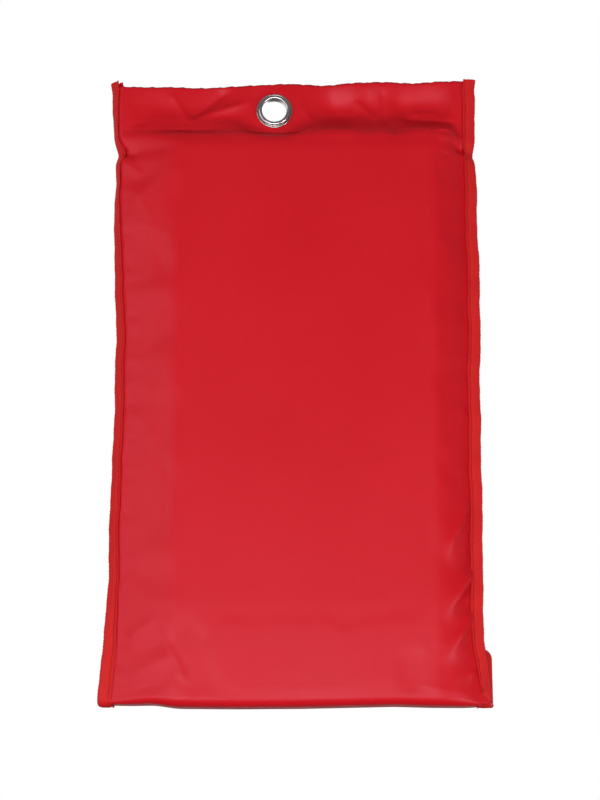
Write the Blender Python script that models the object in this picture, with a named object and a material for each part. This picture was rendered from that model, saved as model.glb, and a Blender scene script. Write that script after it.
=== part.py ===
"""Fire blanket in a soft wall pouch.

Metres, +Z up. The origin is the centre of the eyelet's hole, which hangs on a hook. The plain
wall side faces -Y. The closing flap and the pull tabs are on the +Y side, and the mouth is at
the bottom. The back sheet runs on under the pack as the gusset and up the front as the flap.
"""

import math

import bmesh
import bpy
from mathutils import Vector

# Driving dimensions of the pouch.
POUCH_WIDTH = 0.186
POUCH_HEIGHT = 0.320
HEADER_HEIGHT = 0.0245
EYELET_BELOW_TOP = 0.014
EYELET_OFF_CENTRE = 0.0098
CLOTH = 0.0006
TAPE = 0.0006
TAPE_FACE = 0.0065
TAPE_ABOVE_TOP = 0.0023
GAP = 0.0003
THREAD = 0.0004

# The folded blanket: 32 layers of a 1 m square glass-fibre cloth, 8 panels across and 4 runs up.
PACK_WIDTH = 0.132
PACK_HEIGHT = 0.252
PACK_DEPTH = 0.017
PACK_CORNER = 0.004
PACK_BELOW_SEAM = 0.0055
PACK_OFF_CENTRE = 0.0075
RUNS = 4
RUN_GAP = 0.0005

# How far the sheets need, from the header inwards, to swell to their full depth.
TOP_ROLL = 0.010

# Closing flap and its hook-and-loop patches.
FLAP_HEIGHT = 0.0285
FLAP_PAST_LEFT = 0.0008
FLAP_PAST_RIGHT = 0.0032
FLAP_CORNER = 0.005
PATCH_WIDTH = 0.060
PATCH_HEIGHT = 0.016
PATCH_THICK = 0.001

# Pull tabs of flat webbing.
TAB_WIDTH = 0.025
TAB_THICK = 0.001
TAB_LENGTH = 0.100
TAB_OFF_CENTRE = 0.052
TAB_ROOT_HEIGHT = 0.064
TAB_SEWN_HEIGHT = 0.018

# Mouth of the front sheet.
MOUTH_RISE = 0.006
MOUTH_TAPE_HEIGHT = 0.005

# Eyelet, turned about Y.
HOLE_RADIUS = 0.00625
BARREL_WALL = 0.0005
FLANGE_RADIUS = 0.0093
LIP_RADIUS = 0.00835
EYELET_METAL = 0.0006
TURNS = 32

# Places that follow from the dimensions.
CENTRE = EYELET_OFF_CENTRE
LEFT = CENTRE - POUCH_WIDTH / 2
RIGHT = CENTRE + POUCH_WIDTH / 2
TOP = EYELET_BELOW_TOP
BOTTOM = TOP - POUCH_HEIGHT
HEADER_SEAM = TOP - HEADER_HEIGHT
EDGE_INSET = TAPE + GAP
SHEET_Y = CLOTH / 2 + GAP
TAPE_Y = SHEET_Y + CLOTH / 2 + GAP
SEAM_INSET = TAPE_FACE + 0.0008

# The stack at the mouth, from the pack outwards: each value is a layer's inner face.
BACK_DEPTH = PACK_DEPTH / 2 + 2 * GAP + CLOTH / 2
ROOT_Y = PACK_DEPTH / 2 + GAP
ROOT_STITCH_Y = ROOT_Y + TAB_THICK + GAP
MOUTH_IN_Y = ROOT_STITCH_Y + THREAD + GAP
FRONT_Y = MOUTH_IN_Y + TAPE + GAP
FRONT_DEPTH = FRONT_Y + CLOTH / 2
MOUTH_OUT_Y = FRONT_Y + CLOTH + GAP
LOOP_Y = MOUTH_OUT_Y
TAB_Y = MOUTH_OUT_Y + TAPE + GAP
HOOK_Y = LOOP_Y + PATCH_THICK + GAP
FLAP_Y = HOOK_Y + PATCH_THICK + GAP
FLAP_OUT_Y = FLAP_Y + CLOTH
GUSSET_TAPE_NEAR_Y = TAPE_Y + TAPE + GAP
GUSSET_TAPE_FAR_Y = FLAP_Y - 2 * GAP - TAPE

GUSSET_TOP = BOTTOM + CLOTH
SHEETS_BOTTOM = GUSSET_TOP + GAP
PACK_CENTRE = CENTRE + PACK_OFF_CENTRE
PACK_LEFT = PACK_CENTRE - PACK_WIDTH / 2
PACK_RIGHT = PACK_CENTRE + PACK_WIDTH / 2
PACK_BOTTOM = HEADER_SEAM - PACK_BELOW_SEAM - PACK_HEIGHT
MOUTH_Z = BOTTOM + MOUTH_RISE
TAB_FOOT_Z = GUSSET_TOP + 0.0015
FLAP_TOP = BOTTOM + FLAP_HEIGHT
FLAP_LEFT = LEFT - FLAP_PAST_LEFT
FLAP_RIGHT = RIGHT + FLAP_PAST_RIGHT
PATCH_BOTTOM = MOUTH_Z + MOUTH_TAPE_HEIGHT - EDGE_INSET + GAP

COATED_RED = (0.60, 0.012, 0.022)
TAPE_RED = (0.66, 0.015, 0.020)
THREAD_RED = (0.50, 0.012, 0.018)


def clear_scene():
    for thing in list(bpy.data.objects):
        bpy.data.objects.remove(thing, do_unlink=True)


def material(name, color, roughness, metallic=0.0):
    made = bpy.data.materials.new(name)
    made.use_nodes = True
    shader = made.node_tree.nodes["Principled BSDF"]
    shader.inputs["Base Color"].default_value = (*color, 1.0)
    shader.inputs["Roughness"].default_value = roughness
    shader.inputs["Metallic"].default_value = metallic
    return made


def make_materials():
    return {
        "cloth": material("coated_red_cloth", COATED_RED, 0.42),
        "tape": material("red_binding_tape", TAPE_RED, 0.75),
        "thread": material("red_thread", THREAD_RED, 0.6),
        "steel": material("plated_steel", (0.62, 0.62, 0.63), 0.25, 1.0),
        "loop": material("black_loop_pile", (0.018, 0.018, 0.018), 0.95),
        "hook": material("black_hook_tape", (0.012, 0.012, 0.012), 0.6),
        "glass_cloth": material("white_glass_cloth", (0.80, 0.79, 0.74), 0.7),
        "webbing": material("black_webbing", (0.02, 0.02, 0.022), 0.8),
    }


def finish_object(name, bm, mat, parent, origin=(0, 0, 0)):
    """Turn a bmesh in world coordinates into an object whose origin is at a given point."""
    bmesh.ops.recalc_face_normals(bm, faces=bm.faces)
    bmesh.ops.translate(bm, verts=bm.verts, vec=-Vector(origin))
    mesh = bpy.data.meshes.new(name)
    bm.to_mesh(mesh)
    bm.free()
    made = bpy.data.objects.new(name, mesh)
    bpy.context.scene.collection.objects.link(made)
    made.data.materials.append(mat)
    made.parent = parent
    made.location = Vector(origin) - (parent.matrix_world.translation if parent else Vector())
    return made


def body_empty(name, place, parent=None):
    """An empty on a moving body's joint axis, which carries the body's pieces."""
    made = bpy.data.objects.new(name, None)
    bpy.context.scene.collection.objects.link(made)
    made.empty_display_size = 0.01
    made.parent = parent
    made.location = Vector(place) - (parent.matrix_world.translation if parent else Vector())
    bpy.context.view_layer.update()
    return made


def add_box(bm, low, high):
    corners = [
        bm.verts.new((x, y, z))
        for z in (low[2], high[2])
        for y in (low[1], high[1])
        for x in (low[0], high[0])
    ]
    for face in ((0, 2, 3, 1), (4, 5, 7, 6), (0, 1, 5, 4), (2, 6, 7, 3), (0, 4, 6, 2), (1, 3, 7, 5)):
        bm.faces.new([corners[i] for i in face])


def block(name, low, high, mat, parent):
    """A plain box between its low and high corners."""
    bm = bmesh.new()
    add_box(bm, low, high)
    return finish_object(name, bm, mat, parent, parent.matrix_world.translation)


def add_prism(bm, outline, offset):
    """A closed outline of 3-D points, carried along an offset, with both ends filled."""
    near = [bm.verts.new(p) for p in outline]
    far = [bm.verts.new(Vector(p) + Vector(offset)) for p in outline]
    bm.faces.new(near)
    bm.faces.new(far[::-1])
    for i in range(len(near)):
        j = (i + 1) % len(near)
        bm.faces.new((near[j], near[i], far[i], far[j]))


def bridge_rings(bm, rings):
    """Join rings of equal length into a tube with filled ends."""
    for a, b in zip(rings, rings[1:]):
        for i in range(len(a)):
            j = (i + 1) % len(a)
            bm.faces.new((a[i], a[j], b[j], b[i]))
    bm.faces.new(rings[0][::-1])
    bm.faces.new(rings[-1])


def rise(distance, length):
    """A quarter of an ellipse: 0 at a seam, 1 once the sheet has swollen to its full depth."""
    share = min(max(distance / length, 0.0), 1.0)
    return math.sqrt(1.0 - (1.0 - share) ** 2)


def slope(distance, length):
    """A sheet's taut slope from a side seam, at 0, to the pack's face, at 1."""
    share = min(max(distance / length, 0.0), 1.0)
    return 1.0 - (1.0 - share) ** 1.5


def sheet_depth(x, z, full):
    """How far a sheet's middle stands from the seam plane."""
    left = slope(x - LEFT - SEAM_INSET, side_slope_lengths()[0])
    right = slope(RIGHT - SEAM_INSET - x, side_slope_lengths()[1])
    below_header = HEADER_SEAM - 0.0008 - z
    return SHEET_Y + (full - SHEET_Y) * min(left, right) * rise(below_header, TOP_ROLL)


def roll_stations(length):
    """Distances from a seam at which a swelling sheet gets its points."""
    return [length * share for share in (0.0, 0.05, 0.15, 0.3, 0.5, 0.75, 1.0)]


def side_slope_lengths():
    """How far each side of the sheets slopes: from its seam to the pack's flat face."""
    left = PACK_LEFT + PACK_CORNER - LEFT - SEAM_INSET
    right = RIGHT - SEAM_INSET - PACK_RIGHT + PACK_CORNER
    return left, right


def columns():
    left_length, right_length = side_slope_lengths()
    left = [LEFT + EDGE_INSET] + [LEFT + SEAM_INSET + s for s in roll_stations(left_length)]
    right = [RIGHT - SEAM_INSET - s for s in reversed(roll_stations(right_length))]
    return left + [PACK_CENTRE] + right + [RIGHT - EDGE_INSET]


def swollen_sheet(name, side, full, bottom, mat, parent):
    """A sheet of cloth, flat in the header and at its side seams, swollen over the pack."""
    xs = columns()
    start = HEADER_SEAM - 0.0008
    zs = [TOP, HEADER_SEAM + 0.0002] + [start - s for s in roll_stations(TOP_ROLL)] + [bottom]
    bm = bmesh.new()
    grid = [[bm.verts.new((x, side * sheet_depth(x, z, full), z)) for x in xs] for z in zs]
    for upper, lower in zip(grid, grid[1:]):
        for i in range(len(xs) - 1):
            bm.faces.new((upper[i], upper[i + 1], lower[i + 1], lower[i]))
    made = finish_object(name, bm, mat, parent)
    thick = made.modifiers.new("cloth_thickness", "SOLIDIFY")
    thick.thickness = CLOTH
    thick.offset = 0.0
    return made


def hole_cutter():
    bm = bmesh.new()
    radius = HOLE_RADIUS + BARREL_WALL + GAP
    ring = [
        (radius * math.cos(a), -0.005, radius * math.sin(a))
        for a in (2 * math.pi * i / TURNS for i in range(TURNS))
    ]
    add_prism(bm, ring, (0, 0.010, 0))
    cutter = finish_object("eyelet_cutter", bm, bpy.data.materials[0], None)
    cutter.hide_render = True
    cutter.display_type = "WIRE"
    return cutter


def cut(made, cutter):
    hole = made.modifiers.new("eyelet_hole", "BOOLEAN")
    hole.operation = "DIFFERENCE"
    hole.object = cutter
    hole.solver = "EXACT"


def turned(name, profile, mat, parent):
    """A ring whose section, in radius and Y, is turned about the Y axis."""
    bm = bmesh.new()
    rings = []
    for i in range(TURNS):
        angle = 2 * math.pi * i / TURNS
        rings.append([bm.verts.new((r * math.cos(angle), y, r * math.sin(angle))) for r, y in profile])
    for a, b in zip(rings, rings[1:] + rings[:1]):
        for i in range(len(profile)):
            j = (i + 1) % len(profile)
            bm.faces.new((a[i], a[j], b[j], b[i]))
    made = finish_object(name, bm, mat, parent)
    made.data.shade_smooth()
    made.data.set_sharp_from_angle(angle=math.radians(35))
    return made


def eyelet_barrel(mat, parent):
    wall = HOLE_RADIUS + BARREL_WALL
    flange = TAPE_Y
    lip = -(TAPE_Y + EYELET_METAL + GAP)
    profile = [
        (HOLE_RADIUS, lip - 0.0003),
        (HOLE_RADIUS, flange + 0.0002),
        (wall, flange + EYELET_METAL + 0.00005),
        (FLANGE_RADIUS - 0.0004, flange + EYELET_METAL - 0.00005),
        (FLANGE_RADIUS, flange + 0.0002),
        (FLANGE_RADIUS, flange),
        (wall, flange),
        (wall, lip),
        (LIP_RADIUS - 0.0002, lip),
        (LIP_RADIUS, lip - 0.0003),
        (LIP_RADIUS - 0.0005, lip - 0.0007),
        (LIP_RADIUS - 0.0012, lip - 0.00085),
        (HOLE_RADIUS + 0.0003, lip - 0.0007),
    ]
    return turned("eyelet_barrel", profile, mat, parent)


def eyelet_washer(mat, parent):
    inner = HOLE_RADIUS + BARREL_WALL + GAP
    profile = [
        (inner, -TAPE_Y - EYELET_METAL),
        (inner, -TAPE_Y),
        (FLANGE_RADIUS, -TAPE_Y),
        (FLANGE_RADIUS, -TAPE_Y - 0.0003),
        (FLANGE_RADIUS - 0.0003, -TAPE_Y - EYELET_METAL),
    ]
    return turned("eyelet_washer", profile, mat, parent)


def folded_tape_section(inner, depth):
    """A tape folded over an edge: points as (distance in from the fold, offset across it)."""
    outer = inner + TAPE
    return [
        (0.0, -outer),
        (depth, -outer),
        (depth, -inner),
        (TAPE, -inner),
        (TAPE, inner),
        (depth, inner),
        (depth, outer),
        (0.0, outer),
    ]


def side_tape(name, edge, inward, middle_y, inner, low, high, mat, parent):
    """A folded tape along a vertical edge at x = edge."""
    bm = bmesh.new()
    section = folded_tape_section(inner, TAPE_FACE)
    outline = [(edge + inward * a, middle_y + b, low) for a, b in section]
    add_prism(bm, outline, (0, 0, high - low))
    return finish_object(name, bm, mat, parent, parent.matrix_world.translation)


def gusset_tape(name, near_x, far_x, inward, mat, parent):
    """The same tape where it runs under the pack, from the side seam to the flap."""
    bm = bmesh.new()
    section = folded_tape_section(CLOTH / 2 + GAP, TAPE_FACE)
    middle_z = BOTTOM + CLOTH / 2
    outline = [(near_x + inward * a, GUSSET_TAPE_NEAR_Y, middle_z + b) for a, b in section]
    add_prism(bm, outline, (far_x - near_x, GUSSET_TAPE_FAR_Y - GUSSET_TAPE_NEAR_Y, 0))
    return finish_object(name, bm, mat, parent, parent.matrix_world.translation)


def mouth_tape(mat, parent):
    """A tape folded over the front sheet's lower edge, which follows the sheet's swell."""
    bm = bmesh.new()
    margin = SEAM_INSET + 0.002
    section = folded_tape_section(CLOTH / 2 + GAP, MOUTH_TAPE_HEIGHT)
    rings = []
    for x in columns():
        if min(x - LEFT, RIGHT - x) < margin:
            continue
        middle = sheet_depth(x, MOUTH_Z, FRONT_DEPTH)
        rings.append([bm.verts.new((x, middle + b, MOUTH_Z - EDGE_INSET + a)) for a, b in section])
    bridge_rings(bm, rings)
    return finish_object("mouth_tape", bm, mat, parent)


def gusset_panel(mat, parent):
    """The stretch of the back sheet that closes the bottom, from the back sheet to the flap."""
    back = [(x, -sheet_depth(x, BOTTOM, BACK_DEPTH) - CLOTH / 2) for x in columns()]
    right = [
        (RIGHT - EDGE_INSET, GUSSET_TAPE_NEAR_Y),
        (FLAP_RIGHT - EDGE_INSET, GUSSET_TAPE_FAR_Y),
        (FLAP_RIGHT - EDGE_INSET, FLAP_OUT_Y),
    ]
    left = [
        (FLAP_LEFT + EDGE_INSET, FLAP_OUT_Y),
        (FLAP_LEFT + EDGE_INSET, GUSSET_TAPE_FAR_Y),
        (LEFT + EDGE_INSET, GUSSET_TAPE_NEAR_Y),
    ]
    bm = bmesh.new()
    add_prism(bm, [(x, y, BOTTOM) for x, y in back + right + left], (0, 0, CLOTH))
    return finish_object("gusset_panel", bm, mat, parent, parent.matrix_world.translation)


def closing_flap(mat, parent):
    """The end of the back sheet, folded up over the mouth, with round upper corners."""
    left = FLAP_LEFT + EDGE_INSET
    right = FLAP_RIGHT - EDGE_INSET
    outline = [(left, SHEETS_BOTTOM), (right, SHEETS_BOTTOM)]
    for centre_x, start in ((right - FLAP_CORNER, 0), (left + FLAP_CORNER, 90)):
        for step in range(5):
            angle = math.radians(start + step * 22.5)
            x = centre_x + FLAP_CORNER * math.cos(angle)
            z = FLAP_TOP - FLAP_CORNER + FLAP_CORNER * math.sin(angle)
            outline.append((x, z))
    bm = bmesh.new()
    add_prism(bm, [(x, FLAP_Y, z) for x, z in outline], (0, CLOTH, 0))
    return finish_object("closing_flap", bm, mat, parent, parent.matrix_world.translation)


def patch(name, near_y, mat, parent):
    low = (CENTRE - PATCH_WIDTH / 2, near_y, PATCH_BOTTOM)
    high = (CENTRE + PATCH_WIDTH / 2, near_y + PATCH_THICK, PATCH_BOTTOM + PATCH_HEIGHT)
    return block(name, low, high, mat, parent)


def stitched_frame(name, low, high, near_y, mat, parent):
    """A rectangle of stitches, as one thread frame between two corners in X and Z."""
    bm = bmesh.new()
    rings = []
    for x, z, in_x, in_z in (
        (low[0], low[1], 1, 1),
        (high[0], low[1], -1, 1),
        (high[0], high[1], -1, -1),
        (low[0], high[1], 1, -1),
    ):
        ring = [
            (x + in_x * a, near_y + b, z + in_z * a)
            for a, b in ((0, 0), (THREAD, 0), (THREAD, THREAD), (0, THREAD))
        ]
        rings.append([bm.verts.new(point) for point in ring])
    for a, b in zip(rings, rings[1:] + rings[:1]):
        for i in range(4):
            j = (i + 1) % 4
            bm.faces.new((a[i], a[j], b[j], b[i]))
    return finish_object(name, bm, mat, parent, parent.matrix_world.translation)


def patch_stitching(name, near_y, mat, parent):
    inset = 0.002
    low = (CENTRE - PATCH_WIDTH / 2 + inset, PATCH_BOTTOM + inset)
    high = (CENTRE + PATCH_WIDTH / 2 - inset, PATCH_BOTTOM + PATCH_HEIGHT - inset)
    return stitched_frame(name, low, high, near_y, mat, parent)


def header_stitching(mat, parent):
    """The row of stitches along the foot of the header, on the wall side."""
    low = (LEFT + TAPE_FACE + GAP, -TAPE_Y - THREAD, HEADER_SEAM - THREAD / 2)
    high = (RIGHT - TAPE_FACE - GAP, -TAPE_Y, HEADER_SEAM + THREAD / 2)
    return block("header_stitching", low, high, mat, parent)


def binding_stitching(name, edge, inward, mat, parent):
    """The row that holds a side tape on, on the wall side."""
    far = -(TAPE_Y + TAPE + GAP)
    x = edge + inward * (TAPE_FACE - 0.0015)
    low = (x - THREAD / 2, far - THREAD, SHEETS_BOTTOM + 0.001)
    high = (x + THREAD / 2, far, TOP + TAPE_ABOVE_TOP - 0.001)
    return block(name, low, high, mat, parent)


def mouth_stitching(mat, parent):
    """The mouth tape's stitches, on the stretch between the two tabs."""
    near = MOUTH_OUT_Y + TAPE + GAP
    z = MOUTH_Z + MOUTH_TAPE_HEIGHT - EDGE_INSET - 0.0012
    half = TAB_OFF_CENTRE - TAB_WIDTH / 2 - 0.0005
    low = (PACK_CENTRE - half, near, z)
    high = (PACK_CENTRE + half, near + THREAD, z + THREAD)
    return block("mouth_stitching", low, high, mat, parent)


def flap_stitching(name, edge, inward, mat, parent):
    """The row that holds the tape on one side edge of the flap."""
    near = FLAP_OUT_Y + GAP + TAPE + GAP
    x = edge + inward * (TAPE_FACE - 0.0015)
    low = (x - THREAD / 2, near, SHEETS_BOTTOM + 0.001)
    high = (x + THREAD / 2, near + THREAD, FLAP_TOP - FLAP_CORNER)
    return block(name, low, high, mat, parent)


def folded_profile():
    """Outline, in Y and Z, of a thick band folded up and down in four runs."""
    thick = (PACK_DEPTH - (RUNS - 1) * RUN_GAP) / RUNS
    bend = thick + RUN_GAP / 2
    low = PACK_BOTTOM
    high = PACK_BOTTOM + PACK_HEIGHT
    back = [-PACK_DEPTH / 2 + i * (thick + RUN_GAP) for i in range(RUNS)]

    def arc(middle, level, up):
        """A half turn over two runs, at the top or at the bottom."""
        points = []
        for step in range(7):
            angle = math.pi - step * math.pi / 6
            y = middle + bend * math.cos(angle) * (1 if up else -1)
            points.append((y, level + (1 if up else -1) * bend * math.sin(angle)))
        return points

    outline = [(back[0], low)]
    outline += arc(back[0] + bend, high - bend, True)
    outline += [(back[1] + thick, low + thick), (back[2], low + thick)]
    outline += arc(back[2] + bend, high - bend, True)
    outline += [(back[3] + thick, low), (back[3], low)]
    outline += [(back[3], high - thick), (back[2] + thick, high - thick)]
    outline += arc(back[1] + bend, low + bend, False)
    outline += [(back[1], high - thick), (back[0] + thick, high - thick)]
    outline += [(back[0] + thick, low)]
    return outline


def rounded_plan():
    """Plan of the pack, in X and Y, with its corners turned over by the outer folds."""
    points = []
    corners = (
        (PACK_WIDTH / 2, PACK_DEPTH / 2, 0),
        (-PACK_WIDTH / 2, PACK_DEPTH / 2, 90),
        (-PACK_WIDTH / 2, -PACK_DEPTH / 2, 180),
        (PACK_WIDTH / 2, -PACK_DEPTH / 2, 270),
    )
    for x, y, start in corners:
        middle_x = x - math.copysign(PACK_CORNER, x)
        middle_y = y - math.copysign(PACK_CORNER, y)
        for step in range(5):
            angle = math.radians(start + step * 22.5)
            points.append(
                (
                    PACK_CENTRE + middle_x + PACK_CORNER * math.cos(angle),
                    middle_y + PACK_CORNER * math.sin(angle),
                )
            )
    return points


def folded_blanket(mat, parent):
    bm = bmesh.new()
    start = PACK_LEFT - 0.001
    add_prism(bm, [(start, y, z) for y, z in folded_profile()], (PACK_WIDTH + 0.002, 0, 0))
    made = finish_object("folded_blanket", bm, mat, parent, parent.matrix_world.translation)

    plan = bmesh.new()
    low = PACK_BOTTOM - 0.001
    add_prism(plan, [(x, y, low) for x, y in rounded_plan()], (0, 0, PACK_HEIGHT + 0.002))
    keep = finish_object("pack_plan", plan, mat, None)
    keep.hide_render = True
    keep.display_type = "WIRE"
    trim = made.modifiers.new("rounded_plan", "BOOLEAN")
    trim.operation = "INTERSECT"
    trim.object = keep
    trim.solver = "EXACT"
    return made


def tab_root(name, middle_x, mat, parent):
    """The end of a tab that is sewn to the blanket, with the foot that turns out of the mouth."""
    low_x = middle_x - TAB_WIDTH / 2
    section = [
        (ROOT_Y, TAB_FOOT_Z),
        (TAB_Y + TAB_THICK, TAB_FOOT_Z),
        (TAB_Y + TAB_THICK, TAB_FOOT_Z + TAB_THICK),
        (ROOT_Y + TAB_THICK, TAB_FOOT_Z + TAB_THICK),
        (ROOT_Y + TAB_THICK, TAB_FOOT_Z + TAB_ROOT_HEIGHT),
        (ROOT_Y, TAB_FOOT_Z + TAB_ROOT_HEIGHT),
    ]
    bm = bmesh.new()
    add_prism(bm, [(low_x, y, z) for y, z in section], (TAB_WIDTH, 0, 0))
    return finish_object(name, bm, mat, parent, parent.matrix_world.translation)


def tab_stitching(name, middle_x, mat, parent):
    inset = 0.003
    top = TAB_FOOT_Z + TAB_ROOT_HEIGHT - inset
    low = (middle_x - TAB_WIDTH / 2 + inset, top - TAB_SEWN_HEIGHT)
    high = (middle_x + TAB_WIDTH / 2 - inset, top)
    return stitched_frame(name, low, high, ROOT_STITCH_Y, mat, parent)


def pull_tab(name, middle_x, mat, parent):
    low_z = TAB_FOOT_Z + TAB_THICK + GAP
    low = (middle_x - TAB_WIDTH / 2, TAB_Y, low_z)
    high = (middle_x + TAB_WIDTH / 2, TAB_Y + TAB_THICK, low_z + TAB_LENGTH)
    return block(name, low, high, mat, parent)


def build_pouch(mats, pouch):
    cutter = hole_cutter()
    cut(swollen_sheet("back_panel", -1, BACK_DEPTH, SHEETS_BOTTOM, mats["cloth"], pouch), cutter)
    cut(swollen_sheet("front_panel", 1, FRONT_DEPTH, MOUTH_Z, mats["cloth"], pouch), cutter)
    eyelet_barrel(mats["steel"], pouch)
    eyelet_washer(mats["steel"], pouch)
    for side, edge, inward in (("left", LEFT, 1), ("right", RIGHT, -1)):
        name = f"{side}_binding_tape"
        high = TOP + TAPE_ABOVE_TOP
        side_tape(name, edge, inward, 0.0, TAPE_Y, SHEETS_BOTTOM, high, mats["tape"], pouch)
        binding_stitching(f"{side}_binding_stitching", edge, inward, mats["thread"], pouch)
    mouth_tape(mats["tape"], pouch)
    header_stitching(mats["thread"], pouch)
    mouth_stitching(mats["thread"], pouch)
    patch("loop_patch", LOOP_Y, mats["loop"], pouch)
    patch_stitching("loop_stitching", FRONT_Y - GAP - THREAD, mats["thread"], pouch)


def build_gusset(mats, gusset):
    gusset_panel(mats["cloth"], gusset)
    gusset_tape("left_gusset_tape", LEFT, FLAP_LEFT, 1, mats["tape"], gusset)
    gusset_tape("right_gusset_tape", RIGHT, FLAP_RIGHT, -1, mats["tape"], gusset)


def build_flap(mats, flap):
    closing_flap(mats["cloth"], flap)
    middle = FLAP_Y + CLOTH / 2
    inner = CLOTH / 2 + GAP
    high = FLAP_TOP - FLAP_CORNER + 0.001
    for side, edge, inward in (("left", FLAP_LEFT, 1), ("right", FLAP_RIGHT, -1)):
        name = f"{side}_flap_tape"
        side_tape(name, edge, inward, middle, inner, SHEETS_BOTTOM, high, mats["tape"], flap)
        flap_stitching(f"{side}_flap_stitching", edge, inward, mats["thread"], flap)
    patch("hook_patch", HOOK_Y, mats["hook"], flap)
    patch_stitching("hook_stitching", FLAP_OUT_Y + GAP, mats["thread"], flap)


def build_blanket(mats, blanket, tabs):
    folded_blanket(mats["glass_cloth"], blanket)
    for side, tab in tabs.items():
        middle_x = tab.matrix_world.translation.x
        tab_root(f"{side}_tab_root", middle_x, mats["webbing"], blanket)
        tab_stitching(f"{side}_tab_stitching", middle_x, mats["thread"], blanket)
        pull_tab(f"{side}_pull_tab", middle_x, mats["webbing"], tab)


def build():
    clear_scene()
    mats = make_materials()
    pouch = body_empty("pouch", (0, 0, 0))
    gusset = body_empty("gusset", (CENTRE, -BACK_DEPTH, GUSSET_TOP), pouch)
    flap = body_empty("flap", (CENTRE, FLAP_Y + CLOTH / 2, GUSSET_TOP), gusset)
    blanket = body_empty("blanket", (PACK_CENTRE, 0, PACK_BOTTOM), pouch)
    bend = (TAB_Y + TAB_THICK / 2, TAB_FOOT_Z + TAB_THICK / 2)
    tabs = {
        "left": body_empty("left_tab", (PACK_CENTRE - TAB_OFF_CENTRE, *bend), blanket),
        "right": body_empty("right_tab", (PACK_CENTRE + TAB_OFF_CENTRE, *bend), blanket),
    }
    build_pouch(mats, pouch)
    build_gusset(mats, gusset)
    build_flap(mats, flap)
    build_blanket(mats, blanket, tabs)


build()
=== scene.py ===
"""Looks of the fire blanket pouch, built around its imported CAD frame.

Metres, +Z up, origin at the centre of the eyelet's hole. The plain wall side faces -Y, towards
the camera. Cloth is built as grids of points: rows run down the sheet, columns run across it.
"""
import math

import bmesh
import bpy
import numpy as np
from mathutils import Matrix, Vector


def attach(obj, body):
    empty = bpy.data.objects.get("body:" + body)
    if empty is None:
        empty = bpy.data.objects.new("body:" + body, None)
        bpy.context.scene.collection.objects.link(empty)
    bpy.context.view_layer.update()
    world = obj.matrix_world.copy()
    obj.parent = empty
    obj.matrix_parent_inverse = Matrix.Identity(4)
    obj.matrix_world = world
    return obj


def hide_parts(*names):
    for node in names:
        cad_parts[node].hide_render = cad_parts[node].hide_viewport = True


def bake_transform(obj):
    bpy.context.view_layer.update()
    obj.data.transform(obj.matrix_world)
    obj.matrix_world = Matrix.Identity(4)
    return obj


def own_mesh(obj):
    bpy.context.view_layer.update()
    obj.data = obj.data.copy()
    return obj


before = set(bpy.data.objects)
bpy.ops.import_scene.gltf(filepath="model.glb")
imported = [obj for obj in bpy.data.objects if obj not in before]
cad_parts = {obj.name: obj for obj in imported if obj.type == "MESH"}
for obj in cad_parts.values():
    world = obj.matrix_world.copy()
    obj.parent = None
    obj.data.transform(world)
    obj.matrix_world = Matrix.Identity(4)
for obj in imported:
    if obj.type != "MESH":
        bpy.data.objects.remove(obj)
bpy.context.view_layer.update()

MM = 0.001

# Sizes of the CAD part, repeated here because its source isn't read. Y of a sheet is its middle.
LEFT = -0.0832
RIGHT = 0.1028
CENTRE = 0.0098
CLOTH = 0.0006
TAPE = 0.0006
TAPE_FACE = 0.0065
FLANGE = 0.0073
SHEET_Y = 0.0006
TAPE_MID = 0.0015
BACK_DEPTH = 0.0094
FRONT_DEPTH = 0.0120
BOTTOM_Z = -0.3057
MOUTH_Z = -0.3000
FLAP_Y = 0.0155
FLAP_CORNER = 0.005
PACK_CENTRE = 0.0173
PACK_TOP = -0.0160
PACK_LOW = -0.2680
# The flap's outline in the looks, which takes in its tape, and the sheet's inset from it.
FLAP_TOP = -0.2764
FLAP_EDGE = {"left": LEFT - 0.0008, "right": RIGHT + 0.0044}
FLAP_HEM = 0.0009
# How a sheet swells: below the header, and from each side to the flat part of the pack.
SEAM_WIDTH = 0.0006
TOP_ROLL = 0.011
PACK_LEFT = -0.0470
PACK_RIGHT = 0.0780
SIDE_SLOPE = {"left": 1.36, "right": 1.9}
# The wall side is drawn in towards its bottom, from this height down.
BELLY_TOP = -0.256
BELLY_DROP = 0.0015
# The header lies flat within the first of these distances of the eyelet, and is cut at the second.
EYELET_PRESS = 0.0105
EYELET_CUT = 0.0079

# Outlines of the side seams, in millimetres: (height, how far the edge stands inside its CAD line).
EDGE = {
    "left": ((17, -2.0), (12, -1.2), (0, -0.6), (-11, 0.9), (-18, 1.9), (-22.5, 3.1), (-27, 1.8), (-37, 2.2),
             (-50, 1.8), (-75, 1.8), (-95, 2.9), (-120, 3.9), (-175, 3.8), (-205, 2.8), (-245, 2.8),
             (-265, 1.9), (-280, 0.5), (-293, -0.4), (-306, -1.0)),
    "right": ((18, -2.6), (15, -1.5), (0, -1.1), (-11, -0.9), (-19, -1.0), (-22.5, 0.7), (-27, -0.6),
              (-37, -1.2), (-70, -1.2), (-92, -1.7), (-120, -1.3), (-145, -0.4), (-225, 0.1),
              (-252, 0.8), (-274, 0.5), (-288, -0.6), (-298, -1.8), (-305, -3.0)),
}
# How far each side flange is rolled back: (height in millimetres, degrees).
ROLL = {
    "left": ((17, 44), (8, 54), (0, 60), (-11, 68), (-18, 64), (-22.5, 30), (-27, 66), (-37, 70), (-50, 62),
             (-75, 50), (-97, 46), (-128, 41), (-200, 38), (-240, 33), (-262, 22), (-275, 6), (-306, 0)),
    "right": ((17, 8), (-11, 12), (-19, 20), (-22.5, 44), (-27, 24), (-37, 18), (-75, 14), (-260, 14),
              (-276, 20), (-290, 32), (-298, 36), (-306, 36)),
}
# Both side seams are pinched at this height, over this reach.
PINCH_Z = -0.0225
PINCH_REACH = 0.0022
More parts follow.
